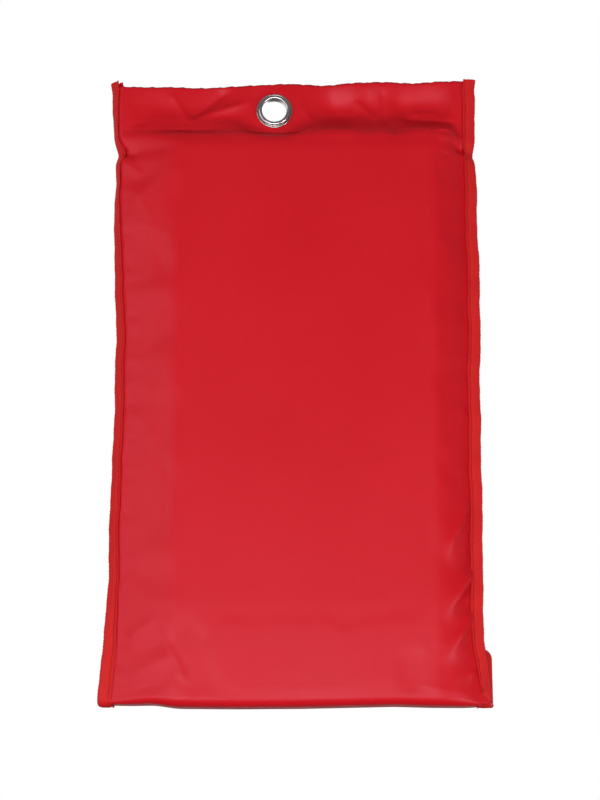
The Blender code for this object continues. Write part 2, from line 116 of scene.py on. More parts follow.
# How much higher than its fold line the bottom edge lies: (place across, millimetres).
BOTTOM_EDGE = ((-90, 2.1), (-80, 2.0), (-70, 1.8), (-58, 2.0), (-47, 0.4), (-20, 0.2), (13, 0.4), (40, 1.0),
               (58, 1.4), (75, 0.9), (92, 0.8), (99, 1.2), (105, 2.2), (110, 3.0))
# Top edge and header seam across the pouch: (place across, height), in millimetres.
TOP_EDGE = ((-84, 14.6), (-72, 13.8), (-55, 13.4), (-35, 13.5), (-6, 14.5), (8, 15.6), (26, 14.7), (52, 16.6),
            (70, 16.2), (92, 16.9), (104, 17.4))
HEADER_SEAM = ((-84, -10.6), (-76, -11.2), (13, -13.2), (60, -12.9), (104, -12.0))

# How far the header stands forward at its seam, and back at its middle: (place across, millimetres).
SEAM_FORWARD = ((-80, 0.8), (-62, 2.2), (-42, 2.8), (-20, 4.9), (10, 6.0), (36, 7.8), (48, 6.0), (56, 7.0),
                (62, 4.8), (72, 7.6), (88, 7.0), (94, 4.2), (100, 1.3))
HEADER_STEEP = 0.40
HEADER_BACK_GAIN = 1.8
HEADER_BACK_AT = 0.55
HEADER_BACK_SPREAD = 0.29
HEADER_BACK = ((-80, 0.3), (-60, 0.6), (-30, 0.3), (0, 0.4), (20, 0.5), (31, 2.4), (42, 1.2), (50, 2.0),
               (56, 0.2), (66, 2.2), (80, 1.8), (90, 0.9), (98, 0.3))
# Folds in the header: start and end across and up, depth, reach above and below, in millimetres.
HEADER_FOLDS = (
    (-44, -5, -24, 12, 2.0, 6.0, 2.4),
    (-45, -5.4, 0, 9.5, -1.8, 2.4, 2.8),
    (-54, 10, -44.5, -5.5, -0.7, 2.2, 1.4),
    (-64, -3, -20, -9, -0.4, 3.0, 2.5),
    (9, 10, 20, -6, -1.1, 1.6, 2.0),
    (42, 6, 54, -4.5, -0.9, 2.2, 2.2),
    (56.5, 13, 57, -9, 1.1, 1.6, 1.6),
    (70, -0.5, 86, -1.0, -0.8, 2.0, 2.0),
    (66, -3.5, 98, -7.0, 1.2, 1.3, 3.4),
    (90, -5, 94.5, 11, -0.9, 1.2, 1.8),
    (-83, -9, -66, -6, 0.7, 2.0, 2.0),
)
# Creases in the wall side of the body: start and end, depth (negative stands proud), half width.
BODY_FOLDS = (
    (96.5, -204, 83.0, -235, -2.70, 1.8),
    (95, -224, 90, -232, -0.70, 1.6),
    (97, -238, 83.0, -263, -3.20, 2.4),
    (97, -259, 83.5, -283, -2.90, 2.1),
    (98, -283, 93, -296, -0.90, 0.9),
    (88, -288, 86, -300, -0.30, 2.0),
    (97, -228, 91, -243, 0.80, 2.6),
    (97, -246, 89, -263, 0.80, 2.6),
    (95, -158, 91, -161, -0.40, 1.0),
    (94, -108, 90, -112, -0.35, 1.0),
    (-54, -270, -40, -295, -0.30, 1.0),
    (-47, -288, -42, -294, -0.30, 0.9),
    (-70, -273, -55, -263, -0.65, 2.4),
    (-68, -283, -48, -273, 0.45, 3.0),
    (-68, -290, -48, -281, -0.45, 3.0),
    (-78, -252, -66, -240, -0.30, 4.0),
    (-82, -21, -70, -25.5, 0.9, 1.3),
    (-80, -26, -68, -36, -0.45, 2.2),
    (-76, -38, -62, -60, -0.35, 3.6),
    (103, -22.5, 90, -19.5, 1.1, 1.2),
    (99, -15.5, 84, -17, -1.1, 1.5),
    (99, -20.5, 86, -27, 0.7, 1.4),
    (101, -26, 84, -23, -0.60, 1.6),
    (-64, -58, -60, -120, -0.30, 4.0),
    (-66, -128, -58, -150, 0.35, 4.0),
    (-70, -160, -58, -176, -0.35, 4.0),
    (-66, -196, -58, -222, 0.30, 5.0),
    (70, -296, 98, -302, -0.40, 1.6),
    (-74, -300, -52, -296, 0.30, 2.0),
)
FRONT_FOLDS = (
    (-80, -24, -60, -52, 0.5, 3.0),
    (100, -24, 78, -60, 0.5, 3.2),
    (-66, -150, -60, -240, 0.35, 5.0),
    (84, -120, 80, -210, -0.35, 5.0),
    (-20, -40, 30, -52, -0.30, 4.0),
    (-70, -290, -50, -262, 0.30, 3.0),
)


# ---------------------------------------------------------------- camera, light, floor

CAMERA_TARGET = Vector((CENTRE, 0.0, -0.146))
CAMERA_DISTANCE = 0.90
CAMERA_BELOW = math.radians(13.8)
CAMERA_LENS = 80.8
CAMERA_SHIFT = (0.0084, -0.0195)
FLOOR_Z = -1.80
FLOOR_HALF = 6.0
ROOM_IN_FRONT = 0.17
ROOM_BELOW = 0.12


def new_object(name, data):
    made = bpy.data.objects.new(name, data)
    bpy.context.scene.collection.objects.link(made)
    return made


def make_camera():
    data = bpy.data.cameras.new("camera")
    data.lens = CAMERA_LENS
    data.sensor_width = 36.0
    data.shift_x, data.shift_y = CAMERA_SHIFT
    camera = new_object("camera", data)
    back = Vector((0, -math.cos(CAMERA_BELOW), -math.sin(CAMERA_BELOW)))
    camera.location = CAMERA_TARGET + back * CAMERA_DISTANCE
    camera.rotation_euler = (math.pi / 2 + CAMERA_BELOW, 0, 0)
    bpy.context.scene.camera = camera


def soft_light(name, azimuth, elevation, distance, size, power):
    """A soft box that faces the pouch. Azimuth 0 stands on the camera's side."""
    data = bpy.data.lights.new(name, "AREA")
    data.shape = "RECTANGLE"
    data.size, data.size_y = size
    data.energy = power
    light = new_object(name, data)
    a, e = math.radians(azimuth), math.radians(elevation)
    away = Vector((math.sin(a) * math.cos(e), -math.cos(a) * math.cos(e), math.sin(e)))
    light.location = CAMERA_TARGET + away * distance
    light.rotation_euler = away.to_track_quat("Z", "Y").to_euler()


def make_lights():
    soft_light("key_soft_box", -8, -19, 1.4, (1.2, 0.60), 12.8)
    soft_light("left_soft_box", -50, -2, 1.3, (0.5, 1.3), 5.0)
    soft_light("right_soft_box", 54, -26, 1.2, (0.5, 0.4), 5.4)
    soft_light("rear_soft_box", 160, 18, 1.6, (1.3, 1.2), 7.0)


def make_world():
    """White behind the object; for light and reflections, a room that is dimmer in front and below."""
    world = bpy.data.worlds.new("studio")
    bpy.context.scene.world = world
    g = Graph(world)
    g.tree.nodes.clear()
    direction = g.split(g.node("ShaderNodeTexCoord", "Generated"))
    room = g.remap(direction["Y"], 0.05, 0.55, ROOM_IN_FRONT, 1.0)
    dimmed = g.mul(room, g.remap(direction["Z"], -0.30, 0.0, ROOM_BELOW, 1.0))
    seen = g.node("ShaderNodeLightPath", "Is Camera Ray")
    strength = g.node("ShaderNodeMix", "Result", {"data_type": "FLOAT"}, Factor=seen, A=dimmed, B=1.0)
    light = g.node("ShaderNodeBackground", "Background", Color=(1, 1, 1, 1), Strength=strength)
    output = g.tree.nodes.new("ShaderNodeOutputWorld")
    g.put(output.inputs["Surface"], light)


def make_floor():
    """A pale floor, lit from within so that it looks white without throwing light on the pouch."""
    mesh = bpy.data.meshes.new("studio_floor")
    square = ((-1, -1), (1, -1), (1, 1), (-1, 1))
    mesh.from_pydata([(FLOOR_HALF * x, FLOOR_HALF * y, FLOOR_Z) for x, y in square], [], [(0, 1, 2, 3)])
    floor = new_object("studio_floor", mesh)
    floor.visible_diffuse = False
    floor.visible_glossy = False
    pale = new_material("pale_floor")
    mesh.materials.append(pale.finish((0.80, 0.80, 0.80, 1), 0.9, Emission_Color=(1, 1, 1, 1),
                                      Emission_Strength=0.60))


# ---------------------------------------------------------------- materials


class Graph:
    """The node tree of a material or a world, with short ways to add nodes to it."""

    def __init__(self, owner):
        owner.use_nodes = True
        self.owner = owner
        self.tree = owner.node_tree

    def put(self, socket, value):
        if isinstance(value, bpy.types.NodeSocket):
            self.tree.links.new(value, socket)
        else:
            socket.default_value = value

    def node(self, kind, output, settings=None, **inputs):
        made = self.tree.nodes.new(kind)
        for key, value in (settings or {}).items():
            setattr(made, key, value)
        for key, value in inputs.items():
            self.put(made.inputs[key.replace("_", " ")], value)
        return made.outputs[output]

    def math(self, operation, *values):
        made = self.tree.nodes.new("ShaderNodeMath")
        made.operation = operation
        for socket, value in zip(made.inputs, values):
            self.put(socket, value)
        return made.outputs["Value"]

    def mul(self, *values):
        return self.math("MULTIPLY", *values)

    def add(self, *values):
        return self.math("ADD", *values)

    def mix(self, factor, a, b):
        made = self.tree.nodes.new("ShaderNodeMix")
        made.data_type = "RGBA"
        self.put(made.inputs["Factor"], factor)
        for socket, color in ((made.inputs[6], a), (made.inputs[7], b)):
            self.put(socket, (*color, 1) if isinstance(color, tuple) else color)
        return made.outputs[2]

    def place(self):
        return self.node("ShaderNodeTexCoord", "Object")

    def split(self, vector):
        made = self.tree.nodes.new("ShaderNodeSeparateXYZ")
        self.put(made.inputs["Vector"], vector)
        return made.outputs

    def noise(self, vector, scale, detail=3.0):
        return self.node("ShaderNodeTexNoise", "Fac", Vector=vector, Scale=scale, Detail=detail,
                         Roughness=0.55)

    def cut(self):
        """The place in the flat cut, in millimetres: (across, along)."""
        places = self.split(self.node("ShaderNodeUVMap", "UV", {"uv_map": "cut"}))
        return [self.mul(places[axis], 1000.0) for axis in ("X", "Y")]

    def wave(self, value, pitch):
        """0 to 1 and back once per pitch."""
        turned = self.math("SINE", self.mul(value, 2 * math.pi / pitch))
        return self.math("MULTIPLY_ADD", turned, 0.5, 0.5)

    def remap(self, value, low, high, to_low, to_high):
        return self.node("ShaderNodeMapRange", "Result", Value=value, From_Min=low, From_Max=high,
                         To_Min=to_low, To_Max=to_high)

    def attribute(self, name):
        return self.node("ShaderNodeAttribute", "Fac", {"attribute_name": name})

    def bump(self, height, distance, strength=1.0, under=None):
        inputs = {"Height": height, "Distance": distance, "Strength": strength}
        if under is not None:
            inputs["Normal"] = under
        return self.node("ShaderNodeBump", "Normal", **inputs)

    def finish(self, color, roughness, **others):
        """Set the material's own sockets, and give back the material."""
        shader = self.tree.nodes["Principled BSDF"]
        for key, value in {"Base_Color": color, "Roughness": roughness, **others}.items():
            self.put(shader.inputs[key.replace("_", " ")], value)
        return self.owner


def new_material(name):
    return Graph(bpy.data.materials.new(name))


def plain_weave(g, across, along, pitch):
    """Height of a plain weave: threads that pass over and under one another."""
    a, b = g.wave(across, pitch), g.wave(along, pitch)
    slant = g.math("SINE", g.mul(g.add(across, along), math.pi / pitch))
    over = g.math("GREATER_THAN", slant, 0.0)
    return g.add(g.mul(a, over), g.mul(b, g.math("SUBTRACT", 1.0, over)))


def coated_cloth():
    """Red satin-coated cloth: a faint close weave, soft dents, rubbed places, and painted shade along its raw
    top edge.
    """
    g = new_material("coated_red_cloth")
    place = g.place()
    broad = g.noise(place, 14.0, 2.0)
    fine = g.noise(place, 420.0, 3.0)
    across, along = g.cut()
    weave = plain_weave(g, across, along, 0.62)
    worn = g.attribute("wear")
    red = g.mix(broad, (0.590, 0.0056, 0.0111), (0.645, 0.0070, 0.0146))
    red = g.mix(g.mul(fine, 0.12), red, (0.42, 0.003, 0.006))
    red = g.mix(g.mul(worn, 0.35), red, (0.68, 0.045, 0.055))
    # Painted shade: the raw top edge is darkened, standing for the shade along the sheet's outline.
    red = g.mix(g.attribute("shaded_raw_edge"), red, (0.16, 0.004, 0.010))
    roughness = g.remap(g.add(broad, g.mul(fine, 0.35)), 0.3, 1.0, 0.36, 0.47)
    normal = g.bump(weave, 0.000020, 0.8)
    normal = g.bump(g.noise(place, 55.0, 3.0), 0.00035, 0.35, normal)
    return g.finish(red, roughness, Normal=normal, Specular_IOR_Level=0.28, Specular_Tint=(0.9, 0.80, 1.0, 1))


def binding_tape():
    """Red woven tape: fine ribs across it, and finer slanting ones, with painted shade in the grooves between
    them.
    """
    g = new_material("red_binding_tape")
    place = g.place()
    across, along = g.cut()
    ribs = g.wave(along, 0.75)
    cross = g.wave(g.add(across, g.mul(along, 0.5)), 0.6)
    height = g.add(g.mul(ribs, 0.7), g.mul(cross, 0.3))
    broad = g.noise(place, 40.0, 2.0)
    red = g.mix(broad, (0.61, 0.008, 0.009), (0.71, 0.012, 0.013))
    # Painted shade: darker in the grooves between the ribs, where the weave lies low.
    red = g.mix(g.mul(g.math("SUBTRACT", 1.0, height), 0.35), red, (0.40, 0.005, 0.007))
    red = g.mix(g.mul(g.attribute("wear"), 0.25), red, (0.74, 0.035, 0.038))
    normal = g.bump(height, 0.00006, 0.7)
    return g.finish(red, g.remap(broad, 0.3, 0.7, 0.62, 0.74), Normal=normal, Specular_IOR_Level=0.25)


def sewing_thread(name, dark, light):
    """Twisted thread, with painted shade between its strands."""
    g = new_material(name)
    across, along = g.cut()
    twist = g.wave(g.add(across, along), 0.32)
    # Painted shade: darker between the strands, varied at random.
    color = g.mix(g.mul(twist, g.noise(g.place(), 300.0)), dark, light)
    return g.finish(color, 0.62, Normal=g.bump(twist, 0.00004, 0.8), Specular_IOR_Level=0.3)


def eyelet_steel():
    """Plated steel, spun smooth, with fine rings and faint handling marks."""
    g = new_material("plated_steel")
    place = g.place()
    axes = g.split(place)
    square = [g.mul(axes[axis], axes[axis]) for axis in ("X", "Z")]
    radius = g.math("SQRT", g.add(*square))
    ring = g.tree.nodes.new("ShaderNodeCombineXYZ")
    g.put(ring.inputs["X"], g.mul(radius, 60.0))
    g.put(ring.inputs["Y"], g.mul(axes["Y"], 60.0))
    spun = g.noise(ring.outputs["Vector"], 160.0, 2.0)
    marks = g.noise(place, 260.0, 4.0)
    color = g.mix(marks, (0.52, 0.51, 0.50), (0.70, 0.69, 0.68))
    roughness = g.remap(g.add(spun, g.mul(marks, 0.6)), 0.4, 1.2, 0.14, 0.30)
    return g.finish(color, roughness, Normal=g.bump(spun, 0.00001, 0.5), Metallic=1.0, Anisotropic=0.35)


def glass_cloth():
    """Off-white woven glass: round heavy yarns, slightly fuzzy, with a soft silky gloss and painted shade
    between the yarns.
    """
    g = new_material("white_glass_cloth")
    place = g.place()
    across, along = g.cut()
    yarns = plain_weave(g, across, along, 1.6)
    fibre = g.noise(place, 900.0, 2.0)
    broad = g.noise(place, 20.0, 3.0)
    # Painted shade: darker where the weave lies low, between the yarns.
    color = g.mix(yarns, (0.60, 0.575, 0.51), (0.84, 0.825, 0.77))
    color = g.mix(g.mul(broad, 0.35), color, (0.78, 0.74, 0.64))
    height = g.add(yarns, g.mul(fibre, 0.25))
    return g.finish(color, g.remap(fibre, 0.3, 0.7, 0.5, 0.7), Normal=g.bump(height, 0.00016, 0.9),
                    Specular_IOR_Level=0.5, Sheen_Weight=0.2, Sheen_Roughness=0.5)


def webbing():
    """Black flat webbing: a herringbone of thick yarns, with painted shade in its grooves."""
    g = new_material("black_webbing")
    across, along = g.cut()
    fold = g.math("ABSOLUTE", g.math("SUBTRACT", g.math("MODULO", across, 6.0), 3.0))
    yarn = g.wave(g.add(along, fold), 1.3)
    fine = g.wave(across, 0.5)
    height = g.add(g.mul(yarn, 0.75), g.mul(fine, 0.25))
    # Painted shade: darker in the grooves and lighter on the yarns' crowns, varied at random.
    tone = g.mul(height, g.noise(g.place(), 200.0))
    color = g.mix(tone, (0.008, 0.008, 0.009), (0.050, 0.050, 0.054))
    return g.finish(color, 0.72, Normal=g.bump(height, 0.00018, 0.9), Sheen_Weight=0.25, Sheen_Roughness=0.45)


def pile(name, dark, light, roughness):
    """The fuzz of a hook or loop patch, with painted shade where it lies low."""
    g = new_material(name)
    fuzz = g.noise(g.place(), 1500.0)
    # Painted shade: the fuzz is darker where it lies low; the fuzz itself is random.
    color = g.mix(fuzz, dark, light)
    return g.finish(color, roughness, Normal=g.bump(fuzz, 0.0002, 0.7), Sheen_Weight=0.4, Sheen_Roughness=0.6)


# ---------------------------------------------------------------- grids and meshes


# How far a curve's corners are smoothed each way.
CURVE_BLUR = 0.0024


def curve_mm(knots, at):
    """A smoothed line through knots given in millimetres, read at places in metres."""
    places, values = np.array(sorted(knots)).T
    near = [np.interp(at + shift, places * MM, values) for shift in np.linspace(-CURVE_BLUR, CURVE_BLUR, 5)]
    return sum(near) / len(near)


def ramp(value, low, high):
    """0 below low, 1 above high, and smooth between."""
    share = np.clip((value - low) / (high - low), 0.0, 1.0)
    return share * share * (3 - 2 * share)


def ripple(place, seed, lengths, sizes):
    """A sum of sines with seeded phases."""
    random = np.random.default_rng(seed)
    total = 0.0
    for length, size in zip(lengths, sizes):
        total = total + size * np.sin(2 * math.pi * place / length + random.uniform(0, 2 * math.pi))
    return total


def finer(grid):
    """A grid with one smooth point added between each two, both ways."""
    for axis in (0, 1):
        grid = np.moveaxis(grid, axis, 0)
        padded = np.concatenate([2 * grid[:1] - grid[1:2], grid, 2 * grid[-1:] - grid[-2:-1]])
        between = (-padded[:-3] + 9 * padded[1:-2] + 9 * padded[2:-1] - padded[3:]) / 16
        made = np.empty((2 * len(grid) - 1, *grid.shape[1:]))
        made[0::2] = grid
        made[1::2] = between
        grid = np.moveaxis(made, 0, axis)
    return grid


def unit(vectors):
    """Vectors along the last axis, made one long."""
    return vectors / np.maximum(np.linalg.norm(vectors, axis=-1, keepdims=True), 1e-12)


def join(x, y, z):
    """Points from their coordinates, each spread to the same shape."""
    return np.stack(np.broadcast_arrays(x, y, z), axis=-1)


def run_length(points):
    """How far along a line of points each one lies."""
    return np.concatenate([[0], np.cumsum(np.linalg.norm(np.diff(points, axis=0), axis=1))])


def flat_lengths(grid):
    """How far each row and column lies along the cut, measured down and across its middle."""
    rows, cols = grid.shape[:2]
    return np.stack(np.meshgrid(run_length(grid[rows // 2]), run_length(grid[:, cols // 2])), axis=-1)


def grid_faces(rows, cols, closed=False):
    """The faces of a grid of points, as an array of (row, column, corner)."""
    index = np.arange(rows * cols).reshape(rows, cols)
    if closed:
        index = np.concatenate([index, index[:, :1]], axis=1)
    return np.stack([index[:-1, :-1], index[1:, :-1], index[1:, 1:], index[:-1, 1:]], axis=-1)


def mesh_object(name, points, faces, mat, cut, tones=None):
    """A smooth mesh that keeps each point's place in the flat cut, and its tones."""
    mesh = bpy.data.meshes.new(name)
    mesh.from_pydata(points.reshape(-1, 3).tolist(), [], faces)
    loops = np.zeros(len(mesh.loops), int)
    mesh.loops.foreach_get("vertex_index", loops)
    layer = mesh.uv_layers.new(name="cut")
    layer.data.foreach_set("uv", cut.reshape(-1, 2)[loops].astype(np.float32).reshape(-1))
    for key, values in (tones or {}).items():
        attribute = mesh.attributes.new(key, "FLOAT", "POINT")
        attribute.data.foreach_set("value", values.reshape(-1).astype(np.float32))
    mesh.materials.append(mat)
    mesh.shade_smooth()
    return new_object(name, mesh)


def grid_object(name, grid, mat, closed=False):
    """A mesh of a grid alone, with no thickness. closed joins its last column to its first."""
    faces = grid_faces(*grid.shape[:2], closed).reshape(-1, 4)
    return mesh_object(name, grid, faces.tolist(), mat, flat_lengths(grid))


def shell(name, grid, thickness, mat, cut=None, keep=None, tones=None, normals=None):
    """A sheet with its thickness: both faces and the rim. keep drops some faces of the grid."""
    rows, cols = grid.shape[:2]
    normals = normals_of(grid) if normals is None else normals
    if tones and "shaded_raw_edge" in tones:
        normals = normals * (1 - 0.8 * tones["shaded_raw_edge"][..., None])
    cut = flat_lengths(grid) if cut is None else cut
    quads = grid_faces(rows, cols)
    faces = quads.reshape(-1, 4) if keep is None else quads[keep]
    edges = np.stack([faces, np.roll(faces, -1, axis=1)], axis=-1).reshape(-1, 2)
    total = rows * cols
    forward = edges[:, 0] * total + edges[:, 1]
    backward = edges[:, 1] * total + edges[:, 0]
    rim = edges[~np.isin(forward, backward)]
    sides = np.stack([rim[:, 1], rim[:, 0], rim[:, 0] + total, rim[:, 1] + total], axis=-1)
    points = np.concatenate([grid + normals * thickness / 2, grid - normals * thickness / 2]).reshape(-1, 3)
    both = {key: np.concatenate([values.reshape(-1)] * 2) for key, values in (tones or {}).items()}
    faces = np.concatenate([faces, faces[:, ::-1] + total, sides]).tolist()
    made = mesh_object(name, points, faces, mat, np.concatenate([cut.reshape(-1, 2)] * 2), both)
    if keep is not None:
        drop_loose(made.data)
    made.data.set_sharp_from_angle(angle=math.radians(55))
    return made


def drop_loose(mesh):
    """Delete the points that no face uses."""
    bm = bmesh.new()
    bm.from_mesh(mesh)
    bmesh.ops.delete(bm, geom=[v for v in bm.verts if not v.link_faces], context="VERTS")
    bm.to_mesh(mesh)
    bm.free()


def normals_of(grid):
    """Unit normals of a grid, on the side that faces -Y where the grid runs down and across."""
    return unit(np.cross(np.gradient(grid, axis=0), np.gradient(grid, axis=1)))


# A direction that no thread runs in, to turn the rings of a tube by.
TUBE_HELPER = np.array([0.31, 0.87, 0.38])


def many_tubes(name, centres, radii, mat, sides=6):
    """Separate small tubes in one mesh. centres: (tubes, rings, 3); radii: (tubes, rings)."""
    count, rings = centres.shape[:2]
    along = unit(np.gradient(centres, axis=1))
    first = unit(np.cross(along, TUBE_HELPER))
    second = np.cross(along, first)
    turn = (np.arange(sides) * 2 * math.pi / sides)[:, None]
    spoke = first[:, :, None] * np.cos(turn) + second[:, :, None] * np.sin(turn)
    points = centres[:, :, None] + spoke * radii[:, :, None, None]
    index = np.arange(count * rings * sides).reshape(count, rings, sides)
    following = np.roll(index, -1, axis=2)
    quads = np.stack([index[:, :-1], following[:, :-1], following[:, 1:], index[:, 1:]], axis=-1)
    caps = np.concatenate([index[:, 0, ::-1], index[:, -1]])
    length = np.broadcast_to((np.arange(rings) * 0.5 * MM)[:, None], index.shape)
    around = np.broadcast_to(np.arange(sides) * 0.2 * MM, index.shape)
    faces = quads.reshape(-1, 4).tolist() + caps.tolist()
    return mesh_object(name, points, faces, mat, np.stack([around, length], axis=-1))


def stitch_row(name, lines, mat, pitch=0.0030, length=0.0027, radius=0.00020):
    """Rows of stitches. Each line is (points on the surface, outward normals)."""
    share = np.linspace(0.0, 1.0, 6)
    lift = radius * (1.5 * np.sin(math.pi * share) - 0.55)
    centres = []
    for points, outward in lines:
        total = run_length(points)
        places = np.arange(0.6 * MM, total[-1] - length, pitch)[:, None] + share * length
        where, out = (np.stack([np.interp(places, total, axis) for axis in values.T], axis=-1)
                      for values in (points, np.broadcast_to(outward, points.shape)))
        centres.append(where + out * lift[None, :, None])
    centres = np.concatenate(centres)
    width = radius * (0.55 + 0.45 * np.sin(math.pi * share))
    return many_tubes(name, centres, np.broadcast_to(width, centres.shape[:2]), mat)


# ---------------------------------------------------------------- side seams


INWARD = {"left": 1.0, "right": -1.0}
EDGE_LINE = {"left": LEFT, "right": RIGHT}
# Added to a seed, so that the two sides differ.
SIDE_SEED = {"left": 0, "right": 1}


def seam_frame(side, z):
    """At heights z: the seam line's x, and the flange's outward and across directions in X and Y."""
    inward = INWARD[side]
    roll = np.radians(curve_mm(ROLL[side], z))
    edge = EDGE_LINE[side] + inward * curve_mm(EDGE[side], z) * MM
    wander = ripple(z, 11 + SIDE_SEED[side], (0.041, 0.017, 0.0071), (0.20 * MM, 0.10 * MM, 0.05 * MM))
    seam = edge + wander + inward * FLANGE * np.cos(roll)
    outward = (-inward * np.cos(roll), np.sin(roll))
    across = (inward * np.sin(roll), np.cos(roll))
    return seam, outward, across


def flange_point(side, z, out, over):
    """The point that lies out from the seam line and over from the flange's middle plane."""
    seam, outward, across = seam_frame(side, z)
    tuck = 1.6 * MM * np.exp(-((z - PINCH_Z) / PINCH_REACH) ** 2)
    flutter = ripple(z, 21 + SIDE_SEED[side], (0.029, 0.013), (0.25 * MM, 0.12 * MM))
    x = seam + outward[0] * out + across[0] * over
    y = outward[1] * out + across[1] * over + (tuck + flutter) * np.clip(out / FLANGE, 0, 1)
    return join(x, y, z)


def header_shape(x, z):
    """How far the header stands back from its plane, the same for both sheets."""
    total = np.zeros(np.broadcast(x, z).shape)
    for x0, z0, x1, z1, depth, above, below in HEADER_FOLDS:
        total += fold_depth(x, z, (x0, z0), (x1, z1), depth, above, below)
    seam = curve_mm(HEADER_SEAM, x) * MM
    top = curve_mm(TOP_EDGE, x) * MM
    share = np.clip((z - seam) / (top - seam), 0, 1)
    total -= curve_mm(SEAM_FORWARD, x) * MM * np.clip(1 - share / HEADER_STEEP, 0, 1) ** 1.6
    back = np.exp(-((share - HEADER_BACK_AT) / HEADER_BACK_SPREAD) ** 2) * HEADER_BACK_GAIN
    total += curve_mm(HEADER_BACK, x) * MM * back
    total += ripple(x, 31, (0.052, 0.023), (0.5 * MM, 0.3 * MM)) * ramp(share, 0.45, 1.0)
    free = ramp(np.hypot(x, z), EYELET_PRESS, 0.022)
    ends = ramp(np.minimum(x - LEFT, RIGHT - x), 0.006, 0.014)
    return total * free * ends


def fold_depth(x, z, start, end, depth, above, below, taper=0.22, spread=0.0):
    """A valley along a line, in metres from sizes in millimetres, with its own reach each way.

    Its left end fades in over the taper, and the spread makes it broader there than at its right.
    """
    x0, z0, x1, z1 = (v * MM for v in (*start, *end))
    length = math.hypot(x1 - x0, z1 - z0)
    tx, tz = (x1 - x0) / length, (z1 - z0) / length
    if tx < 0:
        tx, tz, x0, z0 = -tx, -tz, x1, z1
    share = ((x - x0) * tx + (z - z0) * tz) / length
    off = (z - z0) * tx - (x - x0) * tz
    reach = np.where(off > 0, above, below) * MM * (1 + spread * (0.5 - np.clip(share, 0, 1)))
    side = np.sqrt((off / reach) ** 2 + 0.04) - 0.2
    fade = ramp(share, -0.08, taper) * (1 - ramp(share, 0.78, 1.08))
    return depth * MM * np.exp(-side) * fade


def rise(distance, length):
    """A quarter of an ellipse, 0 at a seam and 1 once the sheet has swollen to its full depth."""
    return np.sqrt(1.0 - (1.0 - np.clip(distance / length, 0.0, 1.0)) ** 2)


# ---------------------------------------------------------------- the two sheets

FLANGE_STEPS = np.array([6.4, 4.8, 3.2, 1.6]) * MM
INNER_COLUMNS = 85
HEADER_ROWS = 17
BODY_ROWS = 98


def inner_shares():
    """Places of the columns between the seams, from 0 to 1, closer together near each seam."""
    even = np.linspace(0.0, 1.0, INNER_COLUMNS)
    return even - 0.11 / math.pi * np.sin(2 * math.pi * even)


def bottom_level(x):
    """Height of the sheet's fold line under the pack."""
    return BOTTOM_Z + curve_mm(BOTTOM_EDGE, x) * MM


def bottom_round(share):
    """Radius of the fold under the pack: large where the sheet is swollen, small at the seams."""
    return (1.2 + 3.0 * share) * MM


def side_swell(x, left, right):
    """A sheet's taut slope from each side seam, at 0, to the flat of the pack, at 1."""
    from_left = 1 - np.clip((x - left) / (PACK_LEFT - left), 0, 1)
    from_right = 1 - np.clip((right - x) / (right - PACK_RIGHT), 0, 1)
    return 1 - np.maximum(from_left ** SIDE_SLOPE["left"], from_right ** SIDE_SLOPE["right"])


def sheet_grid(face, full, lowest=None):
    """Rows from the top edge down. face is -1 for the wall side and 1 for the flap side."""
    columns = []
    for kind, value in columns_of(inner_shares()):
        if kind == "inner":
            guess = LEFT + FLANGE + value * (RIGHT - LEFT - 2 * FLANGE)
            share = float(side_swell(guess, LEFT + FLANGE, RIGHT - FLANGE))
        else:
            guess = LEFT if kind == "left" else RIGHT
            share = 0.0
        top = curve_mm(TOP_EDGE, guess) * MM
        seam = curve_mm(HEADER_SEAM, guess) * MM
        low = bottom_level(guess) + bottom_round(share) if lowest is None else lowest
        z = np.concatenate([
            np.linspace(top, seam, HEADER_ROWS, endpoint=False),
            seam + (low - seam) * np.linspace(0, 1, BODY_ROWS) ** 1.06,
        ])
        columns.append(sheet_column(kind, value, z, seam, face, full))
    return np.stack(columns, axis=1)


def columns_of(shares):
    """Each column from left to right: its kind, and how far out it lies or its share across."""
    yield from (("left", out) for out in FLANGE_STEPS)
    yield from (("inner", share) for share in shares)
    yield from (("right", out) for out in FLANGE_STEPS[::-1])


def sheet_column(kind, value, z, seam, face, full):
    """One column of a sheet: along a flange, or at a share of the way between the seams."""
    if kind != "inner":
        return flange_point(kind, z, value, face * SHEET_Y)
    left = seam_frame("left", z)[0]
    right = seam_frame("right", z)[0]
    x = left + (right - left) * value
    swell = side_swell(x, left, right) * rise(seam - SEAM_WIDTH - z, TOP_ROLL)
    depth = SHEET_Y + (full - SHEET_Y) * swell
    if face < 0:
        below = np.clip((BELLY_TOP - z) / (BELLY_TOP - BOTTOM_Z), 0, 1)
        depth = depth - BELLY_DROP * below ** 1.15 * swell
    return join(x, face * depth, z)


def droop(grid):
    """The folds of the header, fading out where the sheet has swollen over the pack."""
    x, z = grid[..., 0], grid[..., 2]
    below = curve_mm(HEADER_SEAM, x) * MM - SEAM_WIDTH - z
    fade = (1 - rise(below, TOP_ROLL)) * (1 - ramp(below, 0.0, 0.014))
    made = grid.copy()
    made[..., 1] += header_shape(x, z) * fade
    return made


SETTLE_FRAMES = 16
SOLVER = {"quality": 5, "mass": 0.15, "tension_stiffness": 30, "compression_stiffness": 30,
          "shear_stiffness": 12, "bending_stiffness": 4.0, "pin_stiffness": 1.0, "shrink_min": -0.010,
          "use_pressure": True}
PRESSURE = 0.6
MOST_SUNK = 0.35 * MM


